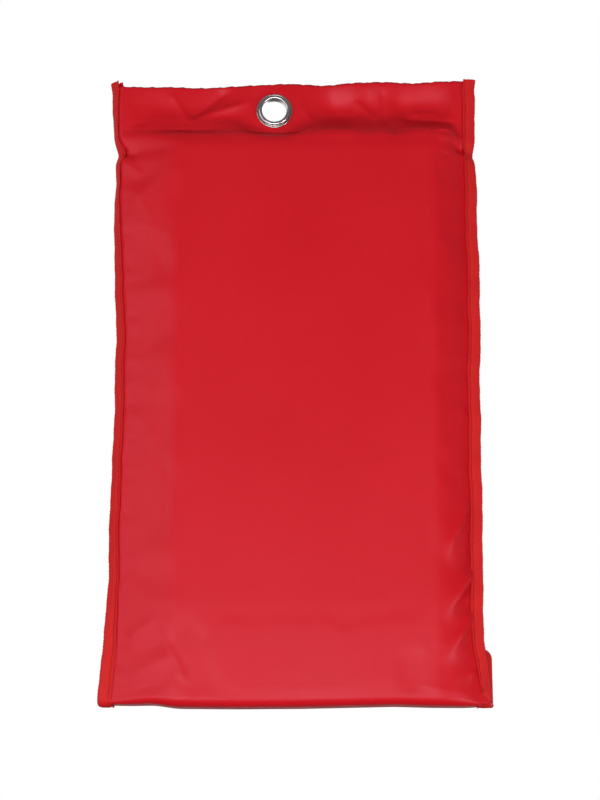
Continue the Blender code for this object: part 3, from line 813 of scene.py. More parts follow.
def settle(grid, grip, pressure):
    """Let the cloth solver relax a grid. grip is how firmly each point is held, from 0 to 1."""
    made = grid_object("settling_sheet", grid, bpy.data.materials["coated_red_cloth"])
    group = made.vertex_groups.new(name="grip")
    for number, hold in enumerate(grip.reshape(-1)):
        group.add([number], float(hold), "REPLACE")
    cloth = made.modifiers.new("cloth", "CLOTH")
    for key, value in SOLVER.items():
        setattr(cloth.settings, key, value)
    cloth.settings.vertex_group_mass = "grip"
    cloth.settings.uniform_pressure_force = pressure
    cloth.settings.effector_weights.gravity = 0
    cloth.collision_settings.use_collision = False
    cloth.point_cache.frame_start = 1
    cloth.point_cache.frame_end = SETTLE_FRAMES
    scene = bpy.context.scene
    scene.frame_start, scene.frame_end = 1, SETTLE_FRAMES
    for number in range(1, SETTLE_FRAMES + 1):
        scene.frame_set(number)
    evaluated = made.evaluated_get(bpy.context.evaluated_depsgraph_get())
    points = np.zeros(grid.size)
    evaluated.data.vertices.foreach_get("co", points)
    bpy.data.objects.remove(made)
    scene.frame_set(1)
    return points.reshape(grid.shape)


def on_pack(x, z):
    """1 over the flat of the pack, and 0 beside and below it."""
    right_of_left = ramp(x, PACK_LEFT - 0.010, PACK_LEFT + 0.010)
    left_of_right = 1 - ramp(x, PACK_RIGHT - 0.008, PACK_RIGHT + 0.008)
    return right_of_left * left_of_right * ramp(z, PACK_LOW - 0.016, PACK_LOW + 0.020)


def relax_body(grid, face, seed):
    """The solver's wrinkles, smoothed and capped. The flat of the pack keeps almost none of them."""
    first = HEADER_ROWS - 1
    body = grid[first:]
    x, z = body[..., 0], body[..., 2]
    flat = on_pack(x, z)
    edge = len(FLANGE_STEPS) + 1
    free = np.zeros(x.shape, bool)
    free[2:-2, edge:-edge] = True
    nudge = body.copy()
    nudge[..., 1] += free * ripple(x + 0.37 * z, seed, (0.031, 0.019), (0.03 * MM, 0.03 * MM))
    moved = settle(nudge, np.where(free, 0.015 + 0.35 * flat, 1.0), -face * PRESSURE) - body
    for _ in range(8):
        beside = moved[2:, 1:-1] + moved[:-2, 1:-1] + moved[1:-1, 2:] + moved[1:-1, :-2]
        moved[1:-1, 1:-1] = (2 * moved[1:-1, 1:-1] + beside) / 6
    moved *= (1 - 0.94 * flat)[..., None]
    limit = (0.25 + 0.35 * ramp(z, PACK_LOW, PACK_LOW + 0.030)[..., None]) * MM
    size = np.linalg.norm(moved, axis=-1, keepdims=True)
    moved *= np.minimum(1.0, limit / np.maximum(size, 1e-9))
    moved[..., 1] = np.maximum(face * moved[..., 1], -MOST_SUNK) * face
    made = grid.copy()
    made[first:] = body + moved
    return made


# Creases right of and below these places, in millimetres, fan out from the side seam.
FAN_FROM = 80
FAN_BELOW = -200


def crease(grid, folds):
    """Push a fine grid in along its creases, and pucker it beside the side seams."""
    x, z = grid[..., 0], grid[..., 2]
    push = np.zeros(x.shape)
    for x0, z0, x1, z1, depth, width in folds:
        fan = min(x0, x1) > FAN_FROM and z0 < FAN_BELOW
        taper, spread = (0.55, 0.8) if fan else (0.22, 0.0)
        push += fold_depth(x, z, (x0, z0), (x1, z1), depth, width, width, taper, spread)
    return grid - normals_of(grid) * push[..., None]


def pucker(grid, face, seed):
    """Small gathers that run in from each side seam."""
    x, z = grid[..., 0], grid[..., 2]
    for side in ("left", "right"):
        seam = seam_frame(side, z)[0]
        inside = (x - seam) * INWARD[side]
        near = np.exp(-np.clip(inside, 0, None) / 0.0055) * ramp(inside, -0.001, 0.002)
        wave = ripple(z + 0.2 * inside, seed, (0.0145, 0.0091, 0.0063), (0.16 * MM, 0.12 * MM, 0.06 * MM))
        grid[..., 1] += face * near * wave * ramp(-z, 0.02, 0.05)
    return grid


def raw_edge(grid):
    """Make the cut top edge of a sheet slightly uneven."""
    uneven = ripple(grid[0, :, 0], 41, (0.0083, 0.0051, 0.0032), (0.12 * MM, 0.10 * MM, 0.09 * MM))
    grid[0, :, 2] += uneven
    grid[1, :, 2] += uneven * 0.6
    return grid


def sheet_tones(grid):
    """Wear on the header seam, and painted shade along the raw top edge, for the cloth's material."""
    x, z = grid[..., 0], grid[..., 2]
    shaded_raw_edge = np.zeros(x.shape)
    # Painted shade: the top row is marked to be darkened in the cloth's colour; it is also drawn thinner.
    shaded_raw_edge[0] = 0.9
    near_seam = np.exp(-((z - curve_mm(HEADER_SEAM, x) * MM + 0.0015) / 0.0012) ** 2)
    wear = 0.2 * near_seam * (0.5 + ripple(x, 51, (0.037, 0.013), (0.35, 0.25)))
    return {"wear": np.clip(wear, 0, 1), "shaded_raw_edge": shaded_raw_edge}


def eyelet_hole(grid):
    """Drop the faces under the eyelet, and round the hole that they leave."""
    radius = np.hypot(grid[..., 0], grid[..., 2])
    outside = radius > EYELET_CUT
    halves = (slice(0, -1), slice(1, None))
    corners = [(rows, cols) for rows in halves for cols in halves]
    keep = np.logical_and.reduce([outside[corner] for corner in corners])
    used = np.zeros(radius.shape, bool)
    for corner in corners:
        used[corner] |= ~keep
    scale = np.where(used & outside, EYELET_CUT / np.maximum(radius, 1e-9), 1.0)
    grid[..., 0] *= scale
    grid[..., 2] *= scale
    return keep


def quarter(steps):
    """Each step of a quarter turn, past its start: the angle's sine, and 1 less its cosine."""
    angles = np.linspace(0, math.pi / 2, steps + 1)[1:]
    return [(math.sin(angle), 1 - math.cos(angle)) for angle in angles]


def wrap_rows(last_row):
    """The back sheet past its lowest row: round the fold, under the pack, and up as the flap."""
    x0, y0, z0 = last_row.T
    level = bottom_level(x0)
    radius = z0 - level
    share = (x0 - x0[0]) / (x0[-1] - x0[0])
    left, right = FLAP_EDGE["left"] + FLAP_HEM, FLAP_EDGE["right"] - FLAP_HEM
    x_flap = left + share * (right - left)
    near = 0.0020
    rows = [(x0, y0 + radius * fall, z0 - radius * sine) for sine, fall in quarter(6)]
    start = y0 + radius
    end = FLAP_Y - near
    for step in np.linspace(0, 1, 10)[1:]:
        y = start + (end - start) * step
        x = x0 + (x_flap - x0) * ramp(y, 0.0, end)
        sag = 0.25 * MM * np.sin(math.pi * step) * ripple(x, 61, (0.06, 0.027), (0.7, 0.5))
        rows.append((x, y, level + sag))
    rows += [(x_flap, end + near * sine, level + near * fall) for sine, fall in quarter(5)]
    low = level + near
    for step in np.linspace(0, 1, 12)[1:]:
        z = low + (flap_top(x_flap) - low) * step
        rows.append((x_flap, FLAP_Y + flap_bow(x_flap, z), z))
    return np.stack([join(*row) for row in rows])


def flap_top(x):
    """Height of the flap's upper edge, with its round corners."""
    inside = np.minimum(x - FLAP_EDGE["left"], FLAP_EDGE["right"] - x)
    near = np.clip(FLAP_CORNER - inside, 0, FLAP_CORNER)
    return FLAP_TOP - FLAP_HEM - FLAP_CORNER + np.sqrt(FLAP_CORNER ** 2 - near ** 2)


def flap_bow(x, z):
    """The flap's slight waviness: flat on its patch, freer towards its ends."""
    free = ramp(np.abs(x - CENTRE), 0.034, 0.075)
    height = ramp(z, BOTTOM_Z, FLAP_TOP)
    return (0.5 + ripple(x, 71, (0.045, 0.021), (0.5, 0.3))) * free * height * 0.8 * MM


# ---------------------------------------------------------------- tapes


# How far a tape's stitches lie from its inner edge, and the heights of the side tapes' upper ends.
STITCH_INSET = 0.0014
TAPE_END = {"left": 0.0173, "right": 0.0178}
# Where a side tape turns under the pack, and how many points of its line lie before the underside.
TURN_Z = -0.2970
TURN_POINTS = 10


def tape_section(depth, half, points=16):
    """A folded tape's middle line: (distance in from the fold, offset across it), sunk where it is sewn."""
    straight = np.linspace(depth, half, points)
    turn = np.linspace(-math.pi / 2, math.pi / 2, 9)[1:-1]
    sunk = 0.42 * MM * np.exp(-((straight - depth + STITCH_INSET) / (0.50 * MM)) ** 2)
    near = [(d, -half + s) for d, s in zip(straight, sunk)]
    fold = [(half - half * math.cos(a), half * math.sin(a)) for a in turn]
    far = [(d, half - s) for d, s in zip(straight[::-1], sunk[::-1])]
    return np.array(near + fold + far)


def sweep_tape(name, edge, inward, normal, mat, depth=TAPE_FACE, half=TAPE_MID):
    """A tape folded over an edge line. inward points into the sheet, normal across it."""
    section = tape_section(depth, half)
    grid = edge[:, None] + inward[:, None] * section[:, :1] + normal[:, None] * section[:, 1:]
    cut = np.stack(np.meshgrid(run_length(section), run_length(edge)), axis=-1)
    wear = np.broadcast_to(np.exp(-(section[:, 0] / 0.0008) ** 2), grid.shape[:2])
    return shell(name, grid, TAPE, mat, cut=cut, tones={"wear": wear})


def side_edge(side, z):
    """The outer line of a side seam, with its inward and across directions."""
    edge = flange_point(side, z, FLANGE, 0.0)
    inward = unit(flange_point(side, z, 0.0, 0.0) - edge)
    normal = unit(flange_point(side, z, FLANGE, 0.001) - edge)
    return edge, inward, normal


def side_tape(side, mat):
    """A side tape, with its ends cut a little proud of the sheets."""
    z = np.concatenate([
        np.arange(TURN_Z - 0.0004, 0.0148, 0.00055),
        np.linspace(0.0152, TAPE_END[side], 5),
    ])
    edge, inward, normal = side_edge(side, z)
    nibs = ripple(z, 25 + SIDE_SEED[side], (0.00148, 0.00231), (0.15 * MM, 0.06 * MM))
    return sweep_tape(f"{side}_side_tape", edge - inward * nibs[:, None], inward, normal, mat)


def turn_line(side):
    """The edge of the back sheet from a side seam, under the pack and up to the flap's corner."""
    end_x = FLAP_EDGE[side]
    near, far = 0.0025, 0.0022
    level = float(bottom_level(EDGE_LINE[side]))
    seam_points, seam_inward, _ = side_edge(side, np.linspace(TURN_Z, level + near, 6))
    start_x, start_y = seam_points[-1, :2]
    points = [tuple(point) for point in seam_points]
    points += [(start_x, start_y + near * fall, level + near * (1 - sine)) for sine, fall in quarter(4)]
    for step in np.linspace(0, 1, 9)[1:]:
        y = start_y + near + (FLAP_Y - far - near - start_y) * step
        points.append((start_x + (end_x - start_x) * ramp(step, 0, 1), y, level))
    points += [(end_x, FLAP_Y - far + far * sine, level + far * fall) for sine, fall in quarter(4)]
    for z in np.linspace(level + far, FLAP_TOP - FLAP_CORNER, 12)[1:]:
        points.append((end_x, FLAP_Y + float(flap_bow(end_x, z)), z))
    later = len(points) - len(seam_points)
    inward = np.concatenate([seam_inward, np.repeat(seam_inward[-1:], later, axis=0)])
    turned_in = ramp(np.arange(len(points)), 1, len(seam_points) + 3)[:, None]
    return np.array(points), inward * (1 - turned_in) + np.array([INWARD[side], 0.0, 0.0]) * turned_in


def line_normals(points, inward):
    """Two directions square to a line at each point: the one nearest inward, and the one across both."""
    along = unit(np.gradient(points, axis=0))
    normal = unit(np.cross(along, inward))
    return unit(np.cross(normal, along)), normal


def flap_edge_line():
    """Edge of the flap: up its left side, across its top and down its right side."""
    left, left_in = turn_line("left")
    right, right_in = turn_line("right")
    corner = FLAP_CORNER
    ends = []
    for centre_x, first in ((FLAP_EDGE["left"] + corner, 180), (FLAP_EDGE["right"] - corner, 90)):
        for angle in np.radians(first - np.arange(9) * 90 / 8):
            out, up = math.cos(angle), math.sin(angle)
            ends.append((centre_x + corner * out, FLAP_TOP - corner + corner * up, -out, -up))
    middle = [(x, FLAP_TOP, 0.0, -1.0) for x in np.linspace(ends[8][0], ends[9][0], 60)[1:-1]]
    x, z, in_x, in_z = np.array(ends[1:9] + middle + ends[9:-1]).T
    line = np.concatenate([left, join(x, FLAP_Y + flap_bow(x, z), z), right[::-1]])
    return line, np.concatenate([left_in, join(in_x, 0.0, in_z), right_in[::-1]])


# ---------------------------------------------------------------- turned metal


def turned(name, profile, mat, turns=96):
    """A closed section of (radius, y), turned about the Y axis."""
    radius, y = np.array(profile).T
    angle = (np.arange(turns) * 2 * math.pi / turns)[:, None]
    ring = join(radius * np.cos(angle), y, radius * np.sin(angle))
    made = grid_object(name, np.concatenate([ring, ring[:1]]), mat, closed=True)
    bm = bmesh.new()
    bm.from_mesh(made.data)
    bmesh.ops.remove_doubles(bm, verts=bm.verts, dist=1e-7)
    bmesh.ops.recalc_face_normals(bm, faces=bm.faces)
    bm.to_mesh(made.data)
    bm.free()
    made.data.set_sharp_from_angle(angle=math.radians(50))
    return made


def arc(centre, radius, first, last, count):
    """Points round an arc in the (radius, y) plane, with angles in degrees."""
    return [(centre[0] + radius * math.cos(a), centre[1] + radius * math.sin(a))
            for a in np.radians(np.linspace(first, last, count))]


def make_eyelet(mat):
    """The barrel with its flange and rolled lip, and the washer that the lip holds."""
    hole = 0.00625
    wall = 0.00675
    lip = 0.00095
    lip_y = -0.0023
    barrel = [(wall, 0.0012), (0.0091, 0.0012)]
    barrel += arc((0.0090, 0.00150), 0.0003, -70, 90, 5)
    barrel += [(0.0078, 0.00195), (0.0071, 0.0019)]
    barrel += arc((hole + 0.0007, 0.0012), 0.0007, 90, 180, 6)
    barrel += arc((hole + lip, lip_y), lip, 180, 270, 8)
    barrel += arc((0.0074, lip_y), lip, 270, 360, 8)
    barrel += [(0.0081, lip_y + 0.00018), (wall, lip_y + 0.00018)]
    washer = [(0.00705, -0.0012), (0.0093, -0.0012)]
    washer += arc((0.00905, -0.00155), 0.00027, 30, -90, 5)
    washer += [(0.00865, -0.00165), (0.00835, -0.00155), (0.0080, -0.0017), (0.00705, -0.0018)]
    for name, profile in (("eyelet_barrel", barrel), ("eyelet_washer", washer)):
        keep_as(turned(f"{name}_turned", profile, mat), "pouch", [name])


# ---------------------------------------------------------------- the blanket and its tabs

# The pitch of the folded layers, and the thickness that each is drawn with.
LAYER = 0.00047
GLASS_CLOTH = 0.00042
RUN_GAP = 0.00005
BLANKET_SET_BACK = 0.0010
PANELS = 8
RUNS = 4
BAND = PANELS * LAYER
PACK_HALF = 0.0655


def zigzag(count, flat_points, fold_points):
    """Folding one way: each point's panel, its place there from 0 to 1, and its share of a fold."""
    stations = []
    for panel in range(count):
        stations += [(panel, share, 0.0) for share in np.linspace(0.0, 1.0, flat_points)]
        if panel < count - 1:
            stations += [(panel, 1.0, turn) for turn in np.linspace(0, 1, fold_points + 2)[1:-1]]
    return np.array(stations).T


def folded_place(stations, pitch, count):
    """Place along the fold's width from 0 to 1, stand-out past its ends, and offset across."""
    panel, share, turn = stations
    forward = panel % 2 == 0
    angle = math.pi * turn
    offset = (panel - (count - 1) / 2 + (1 - np.cos(angle)) / 2) * pitch
    return np.where(forward, share, 1 - share), np.where(forward, 1.0, -1.0) * np.sin(angle), offset


def blanket_grid():
    """One square sheet folded in eight panels across, then in four runs up and down."""
    across = zigzag(PANELS, 9, 5)
    along = zigzag(RUNS, 15, 7)
    panel, run = across[0].astype(int), along[0].astype(int)
    run_pitch = BAND + RUN_GAP
    u, u_out, u_off = folded_place(across, LAYER, PANELS)
    v, v_out, v_mid = (values[:, None] for values in folded_place(along, run_pitch, RUNS))
    flip = np.where(run % 2 == 0, 1.0, -1.0)[:, None]
    y = v_mid + flip * np.cos(math.pi * along[2])[:, None] * u_off
    # Where the band turns, a layer lies further out by its place in the band.
    offset_out = (run_pitch / 2 - flip * u_off) * np.abs(v_out)
    low = PACK_LOW + 0.0022 + 0.45 * np.clip(np.abs(y) - 0.004, 0, None)
    high = PACK_TOP - 0.0044
    z = low + (high - low) * v + np.sign(v_out) * offset_out
    corner = 0.0040
    inset = corner - np.sqrt(np.maximum(corner ** 2 - np.clip(np.abs(y) - 0.0045, 0, corner) ** 2, 0))
    uneven = np.random.default_rng(5).uniform(-1.0, 1.0, (PANELS, RUNS)) * 0.5 * MM
    loose = ramp(np.abs(u - 0.5), 0.3, 0.5)
    half = PACK_HALF - inset - 0.0004 + uneven[panel][:, run].T * loose
    x = PACK_CENTRE + (2 * u - 1) * half + u_out * LAYER / 2
    swell = ripple(x + 0.6 * z, 81, (0.11, 0.047), (0.16 * MM, 0.08 * MM))
    return join(x, y + swell * (1 - ramp(np.abs(y), 0.006, 0.0080)) + BLANKET_SET_BACK, z)


def make_blanket(mats):
    """The folded sheet, with its weave laid out over the flat square metre."""
    grid = blanket_grid()
    along, across = (np.linspace(0, 1.0, count) for count in grid.shape[:2])
    cut = np.stack(np.meshgrid(across, along), axis=-1)
    blanket = shell("blanket_sheet", grid, GLASS_CLOTH, mats["glass"], cut=cut)
    return keep_as(blanket, "blanket", ["folded_blanket"])


TAB_WIDTH = 0.025
TAB_THICK = 0.0010
TAB_X = {"left": PACK_CENTRE - 0.052, "right": PACK_CENTRE + 0.052}
TAB_HEM = 0.020
# Places along a tab's middle line: Y of its root and of its pull, and its turning heights.
ROOT_Y, TAB_Y = 0.0093, 0.0140
ROOT_TOP, TAB_LOW, TAB_HIGH = -0.2402, -0.3034, -0.2045
# Heights of the box stitches at a tab's root and at its folded end, and the Y of their threads.
ROOT_BOX, END_BOX = (-0.2605, -0.2430), (-0.2225, -0.2075)
ROOT_THREAD_Y, END_THREAD_Y = 0.00982, 0.01588


def tab_path():
    """Middle line of a tab in Y and Z: down its sewn root, out of the mouth, up, and folded back."""
    near = 0.0015
    fold = TAB_THICK * 0.58
    points = [(ROOT_Y, z) for z in np.linspace(ROOT_TOP, TAB_LOW + near, 30)]
    points += [(ROOT_Y + near * fall, TAB_LOW + near * (1 - sine)) for sine, fall in quarter(3)]
    points += [(y, TAB_LOW) for y in np.linspace(ROOT_Y + near, TAB_Y - near, 5)[1:]]
    points += [(TAB_Y - near + near * sine, TAB_LOW + near * fall) for sine, fall in quarter(3)]
    points += [(TAB_Y, z) for z in np.linspace(TAB_LOW + near, TAB_HIGH, 46)[1:]]
    for angle in np.radians([30, 60, 90, 120, 150, 180]):
        points.append((TAB_Y + fold * (1 - math.cos(angle)), TAB_HIGH + fold * math.sin(angle)))
    points += [(TAB_Y + 2 * fold, z) for z in np.linspace(TAB_HIGH, TAB_HIGH - TAB_HEM, 12)[1:]]
    return np.array(points)


def make_tab(side, mats):
    """A tab of webbing, limp where it hangs free, and flat where it is sewn."""
    y, z = tab_path().T[:, :, None]
    share = np.linspace(-0.5, 0.5, 15)
    free = ramp(y, 0.0125, 0.0140)
    lean = ripple(z, 91 + SIDE_SEED[side], (0.19, 0.083), (0.9 * MM, 0.4 * MM)) * ramp(z, -0.300, -0.24)
    cup = 0.25 * MM * (1 + np.cos(2 * math.pi * share)) * ramp(z, -0.300, -0.24) * ramp(z, -0.275, -0.21)
    points = join(TAB_X[side] + share * TAB_WIDTH + lean * free, y + cup * free, z)
    tab = shell(f"{side}_tab_webbing", points, TAB_THICK * 0.96, mats["webbing"])
    bend_as(tab, "blanket", f"{side}_tab", [f"{side}_tab_root", f"{side}_pull_tab"], "webbing",
            start=(TAB_X[side], 0.0102, -0.3034), end=(TAB_X[side], 0.0134, -0.3034))


def box_stitch(name, low, high, y, outward, mats, thread, body, nodes):
    """A rectangle of stitches with a cross in it, between two corners in X and Z."""
    (x0, z0), (x1, z1) = low, high
    runs = ((x0, z0, x1, z0), (x1, z0, x1, z1), (x1, z1, x0, z1), (x0, z1, x0, z0),
            (x0, z0, x1, z1), (x0, z1, x1, z0))
    share = np.linspace(0, 1, 12)
    out = np.array([[0.0, outward, 0.0]])
    lines = [(join(ax + share * (bx - ax), y, az + share * (bz - az)), out) for ax, az, bx, bz in runs]
    made = stitch_row(name, lines, mats[thread], pitch=0.0026, length=0.0021)
    return keep_as(made, body, nodes)


# ---------------------------------------------------------------- hook and loop

PATCH_LOW = (CENTRE - 0.030, -0.2954)
PATCH_HIGH = (CENTRE + 0.030, -0.2798)
LOOP_Y = 0.01282
HOOK_Y = 0.01472
PATCH_GROUND = 0.00036
LOOP_RADIUS = 0.00006
HOOK_RADIUS = 0.00007
LOOP_THREAD_Y = 0.01165
HOOK_THREAD_Y = 0.01582


def patch_points(columns, rows, seed):
    """Seeded places spread over the patch, clear of its edge."""
    random = np.random.default_rng(seed)
    inset = 0.0012
    x = np.linspace(PATCH_LOW[0] + inset, PATCH_HIGH[0] - inset, columns)
    z = np.linspace(PATCH_LOW[1] + inset, PATCH_HIGH[1] - inset, rows)
    grid = np.stack(np.meshgrid(x, z), axis=-1).reshape(-1, 2)
    return grid + random.uniform(-0.25, 0.25, grid.shape) * MM, random


def patch_base(name, y, mat):
    """The woven ground of a patch, a thin slab."""
    x = np.linspace(PATCH_LOW[0], PATCH_HIGH[0], 36)
    z = np.linspace(PATCH_LOW[1], PATCH_HIGH[1], 10)
    return shell(name, join(x, y, z[:, None]), PATCH_GROUND, mat)


def make_loop_patch(mats):
    """The ground of the loop patch, and small loops that stand up from it at random turns."""
    places, random = patch_points(52, 12, 101)
    x, z = places.T[:, :, None]
    turn = random.uniform(0, 2 * math.pi, x.shape)
    size = random.uniform(0.30, 0.50, x.shape) * MM
    share = np.linspace(0, math.pi, 5)
    reach = np.cos(share) * size
    centres = join(x + np.cos(turn) * reach, LOOP_Y + 0.0001 + np.sin(share) * size * 1.4,
                   z + np.sin(turn) * reach)
    radii = np.full(centres.shape[:2], LOOP_RADIUS)
    return [patch_base("loop_patch_ground", LOOP_Y, mats["loop"]),
            many_tubes("loop_patch_pile", centres, radii, mats["loop"], sides=3)]


def make_hook_patch(mats):
    """The ground of the hook patch, and stiff hooks that bend up or down."""
    places, random = patch_points(46, 11, 102)
    x, z = places.T[:, :, None]
    share = np.array([0.0, 0.45, 0.8, 1.0, 0.85])
    bend = np.array([0.0, 0.0, 0.10, 0.28, 0.45]) * MM
    lean = np.where(random.uniform(size=x.shape) > 0.5, 1.0, -1.0)
    centres = join(x, HOOK_Y - 0.0001 - share * 0.50 * MM, z + lean * bend)
    radii = np.full(centres.shape[:2], HOOK_RADIUS)
    return [patch_base("hook_patch_ground", HOOK_Y, mats["hook"]),
            many_tubes("hook_patch_hooks", centres, radii, mats["hook"], sides=4)]


# ---------------------------------------------------------------- assembly


def keep_as(piece, body, nodes):
    """Fix a piece to a body in place of the CAD nodes it stands for, if any."""
    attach(piece, body)
    if nodes:
        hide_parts(*nodes)
    return piece


def bend_as(piece, first, second, nodes, slot, **fold):
    """Bake a piece's transform, and hide the CAD nodes it stands for."""
    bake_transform(piece)
    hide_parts(*nodes)


FOLD_ONE = {"start": (CENTRE, -0.0094, -0.2985), "end": (CENTRE, -0.0094, -0.3030)}
FOLD_TWO = {"start": (CENTRE, 0.0105, -0.3054), "end": (CENTRE, 0.0155, -0.3004)}
# Where the middle of the sheet is cut into back, gusset and flap.
GUSSET_FROM_Z = -0.2950
GUSSET_TO_Y = 0.0035


def squashed(piece):
    """Give a piece on the front sheet a mesh of its own."""
    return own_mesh(piece)


def make_back_sheet(mats):
    """The back sheet, with its gusset and flap, cut into three pieces where it folds."""
    grid = relax_body(sheet_grid(-1, BACK_DEPTH), -1, 7)
    whole = np.concatenate([grid, wrap_rows(grid[-1])])
    whole = droop(finer(whole))
    body_rows = 2 * len(grid) - 1
    shaped = pucker(crease(whole[:body_rows], BODY_FOLDS), -1, 8)
    fade = ramp(np.arange(body_rows), body_rows - 3, body_rows - 1)[:, None, None]
    whole[:body_rows] = shaped * (1 - fade) + whole[:body_rows] * fade
    whole = raw_edge(whole)
    facts = {"cut": flat_lengths(whole), "normals": normals_of(whole)}
    tones = sheet_tones(whole)
    keep = eyelet_hole(whole)
    middle = whole[:, whole.shape[1] // 2]
    last = int(np.argmax(middle[:, 2] < GUSSET_FROM_Z))
    split = int(np.argmax((middle[:, 1] > GUSSET_TO_Y) & (np.arange(len(middle)) > body_rows)))
    pieces = []
    for name, first, end in (("back_sheet", 0, last), ("gusset_sheet", last, split),
                             ("closing_flap_sheet", split, len(whole) - 1)):
        rows = slice(first, end + 1)
        part = {key: values[rows] for key, values in facts.items()}
        part["tones"] = {key: values[rows] for key, values in tones.items()}
        pieces.append(shell(name, whole[rows], CLOTH, mats["cloth"], keep=keep[first:end], **part))
    back, gusset, flap = pieces
    keep_as(back, "pouch", ["back_panel"])
    bend_as(gusset, "pouch", "gusset", ["gusset_panel"], "coated_cloth", **FOLD_ONE)
    bend_as(flap, "gusset", "flap", ["closing_flap"], "coated_cloth", **FOLD_TWO)
    return pieces, whole


def make_front_sheet(mats):
    """The front sheet, from the top edge down to the mouth."""
    grid = relax_body(sheet_grid(1, FRONT_DEPTH, MOUTH_Z), 1, 9)
    fine = droop(finer(grid))
    low = ramp(fine[..., 2], MOUTH_Z, MOUTH_Z + 0.020)[..., None]
    shaped = pucker(crease(fine.copy(), FRONT_FOLDS), 1, 10)
    fine = raw_edge(fine + (shaped - fine) * low)
    part = {"normals": normals_of(fine), "keep": eyelet_hole(fine)}
    front = shell("front_sheet", fine, CLOTH, mats["cloth"], tones=sheet_tones(fine), **part)
    keep_as(front, "pouch", ["front_panel"])
    squashed(front)
    return front, fine


def make_mouth_tape(mats, fine):
    """The tape folded over the front sheet's lower edge, and its thread."""
    inset = len(FLANGE_STEPS) * 2 + 3
    line = fine[-1, inset:-inset]
    inward = unit(fine[-5, inset:-inset] - line)
    normal = unit(np.cross(inward, np.gradient(line, axis=0)))
    half = 0.0009
    edge = line - inward * half
    tape = sweep_tape("mouth_binding", edge, inward, normal, mats["tape"], depth=0.005, half=half)
    out = np.sign(normal[:, 1:2]) * normal
    row = edge + inward * 0.0038 + out * 0.0012
    thread = stitch_row("mouth_thread", [(row, out)], mats["red_thread"])
    squashed(keep_as(tape, "pouch", ["mouth_tape"]))
    squashed(keep_as(thread, "pouch", ["mouth_stitching"]))


def make_side_tapes(mats):
    """The side tapes down to where they turn under the pack, with a row of stitches on each face."""
    across = TAPE_MID + TAPE / 2 - 0.40 * MM
    for side in ("left", "right"):
        tape = side_tape(side, mats["tape"])
        keep_as(tape, "pouch", [f"{side}_binding_tape"])
        edge, inward, normal = side_edge(side, np.arange(-0.3000, 0.0155, 0.002))
        row = edge + inward * (TAPE_FACE - STITCH_INSET)
        lines = [(row + normal * face * across, normal * face) for face in (-1.0, 1.0)]
        thread = stitch_row(f"{side}_side_thread", lines, mats["red_thread"])
        keep_as(thread, "pouch", [f"{side}_binding_stitching"])


def make_flap_tapes(mats):
    """The tape round the flap's edge, and the two turns that join it to the side seams."""
    points, inward = flap_edge_line()
    side, normal = line_normals(points, inward)
    right_start = len(points) - TURN_POINTS
    gusset = ("pouch", "gusset", FOLD_ONE)
    flap = ("gusset", "flap", FOLD_TWO)
    flap_nodes = ["left_flap_tape", "right_flap_tape"]
    for name, first, end, half, (inner, outer, fold), nodes in (
        ("left_turn_tape", 0, TURN_POINTS + 1, TAPE_MID - 0.0001, gusset, ["left_gusset_tape"]),
        ("right_turn_tape", right_start - 1, len(points), TAPE_MID - 0.0001, gusset, ["right_gusset_tape"]),
        ("flap_binding", TURN_POINTS, right_start, 0.0010, flap, flap_nodes),
    ):
        part = slice(first, end)
        tape = sweep_tape(name, points[part], side[part], normal[part], mats["tape"], half=half)
        bend_as(tape, inner, outer, nodes, "binding_tape", **fold)
    rows = points + side * (TAPE_FACE - STITCH_INSET)
    outward = np.sign(normal[:, 1:2] + normal[:, 2:3] * -1e-3) * normal
    flat = slice(TURN_POINTS + 14, right_start - 14)
    line = (rows[flat] + outward[flat] * 0.0012, outward[flat])
    thread = stitch_row("flap_thread", [line], mats["red_thread"])
    keep_as(thread, "flap", ["left_flap_stitching", "right_flap_stitching"])


def make_header_thread(mats, back, front):
    """The seam along the foot of the header, seen on both faces."""
    row = HEADER_ROWS * 2
    inset = len(FLANGE_STEPS) * 2
    lines = []
    for grid, face in ((back, -1.0), (front, 1.0)):
        line = grid[row, inset:-inset] + np.array([0.0, face * 0.0003, 0.0])
        lines.append((line, np.array([[0.0, face, 0.0]])))
    thread = stitch_row("header_thread", lines, mats["red_thread"], radius=0.00013)
    keep_as(thread, "pouch", ["header_stitching"])


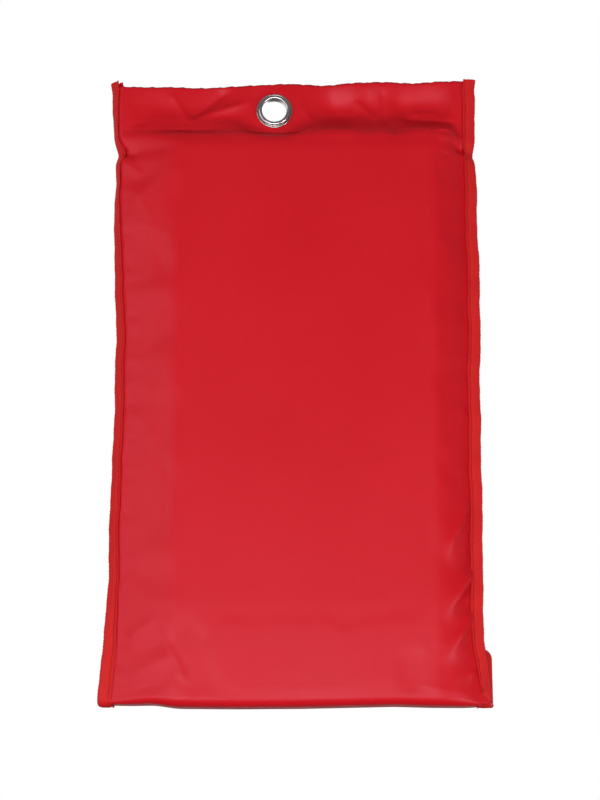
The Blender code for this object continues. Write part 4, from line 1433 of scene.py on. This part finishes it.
def make_closure(mats):
    """The loop patch on the front sheet, the hook patch inside the flap, and their threads."""
    inset = 0.0018
    low = (PATCH_LOW[0] + inset, PATCH_LOW[1] + inset)
    high = (PATCH_HIGH[0] - inset, PATCH_HIGH[1] - inset)
    loops = []
    for piece, nodes in zip(make_loop_patch(mats), (["loop_patch"], [])):
        loops.append(keep_as(piece, "pouch", nodes))
    for piece, nodes in zip(make_hook_patch(mats), (["hook_patch"], [])):
        keep_as(piece, "flap", nodes)
    loops.append(box_stitch("loop_patch_thread", low, high, LOOP_THREAD_Y, -1.0, mats, "red_thread",
                            "pouch", ["loop_stitching"]))
    box_stitch("hook_patch_thread", low, high, HOOK_THREAD_Y, 1.0, mats, "red_thread", "flap",
               ["hook_stitching"])
    for piece in loops:
        squashed(piece)


def make_tabs(mats):
    """Both tabs, each with a box stitch at its root and one at its folded end."""
    half = TAB_WIDTH / 2 - 0.003
    for side, x in TAB_X.items():
        make_tab(side, mats)
        for place, (low, high), y, body, nodes in (
            ("root", ROOT_BOX, ROOT_THREAD_Y, "blanket", [f"{side}_tab_stitching"]),
            ("end", END_BOX, END_THREAD_Y, f"{side}_tab", []),
        ):
            box_stitch(f"{side}_tab_{place}_thread", (x - half, low), (x + half, high), y, 1.0, mats,
                       "white_thread", body, nodes)


def build():
    make_camera()
    make_lights()
    make_world()
    make_floor()
    bpy.context.scene.view_settings.view_transform = "Standard"
    mats = {
        "cloth": coated_cloth(),
        "tape": binding_tape(),
        "red_thread": sewing_thread("red_sewing_thread", (0.46, 0.006, 0.009), (0.66, 0.014, 0.018)),
        "white_thread": sewing_thread("white_sewing_thread", (0.60, 0.60, 0.57), (0.85, 0.85, 0.82)),
        "steel": eyelet_steel(),
        "loop": pile("black_loop_pile", (0.010, 0.010, 0.010), (0.045, 0.045, 0.045), 0.95),
        "hook": pile("black_hook_tape", (0.008, 0.008, 0.008), (0.030, 0.030, 0.030), 0.5),
        "glass": glass_cloth(),
        "webbing": webbing(),
    }
    pieces, back = make_back_sheet(mats)
    front, front_grid = make_front_sheet(mats)
    make_mouth_tape(mats, front_grid)
    make_side_tapes(mats)
    make_flap_tapes(mats)
    make_header_thread(mats, back, front_grid)
    make_eyelet(mats["steel"])
    make_closure(mats)
    blanket = make_blanket(mats)
    make_tabs(mats)


build()
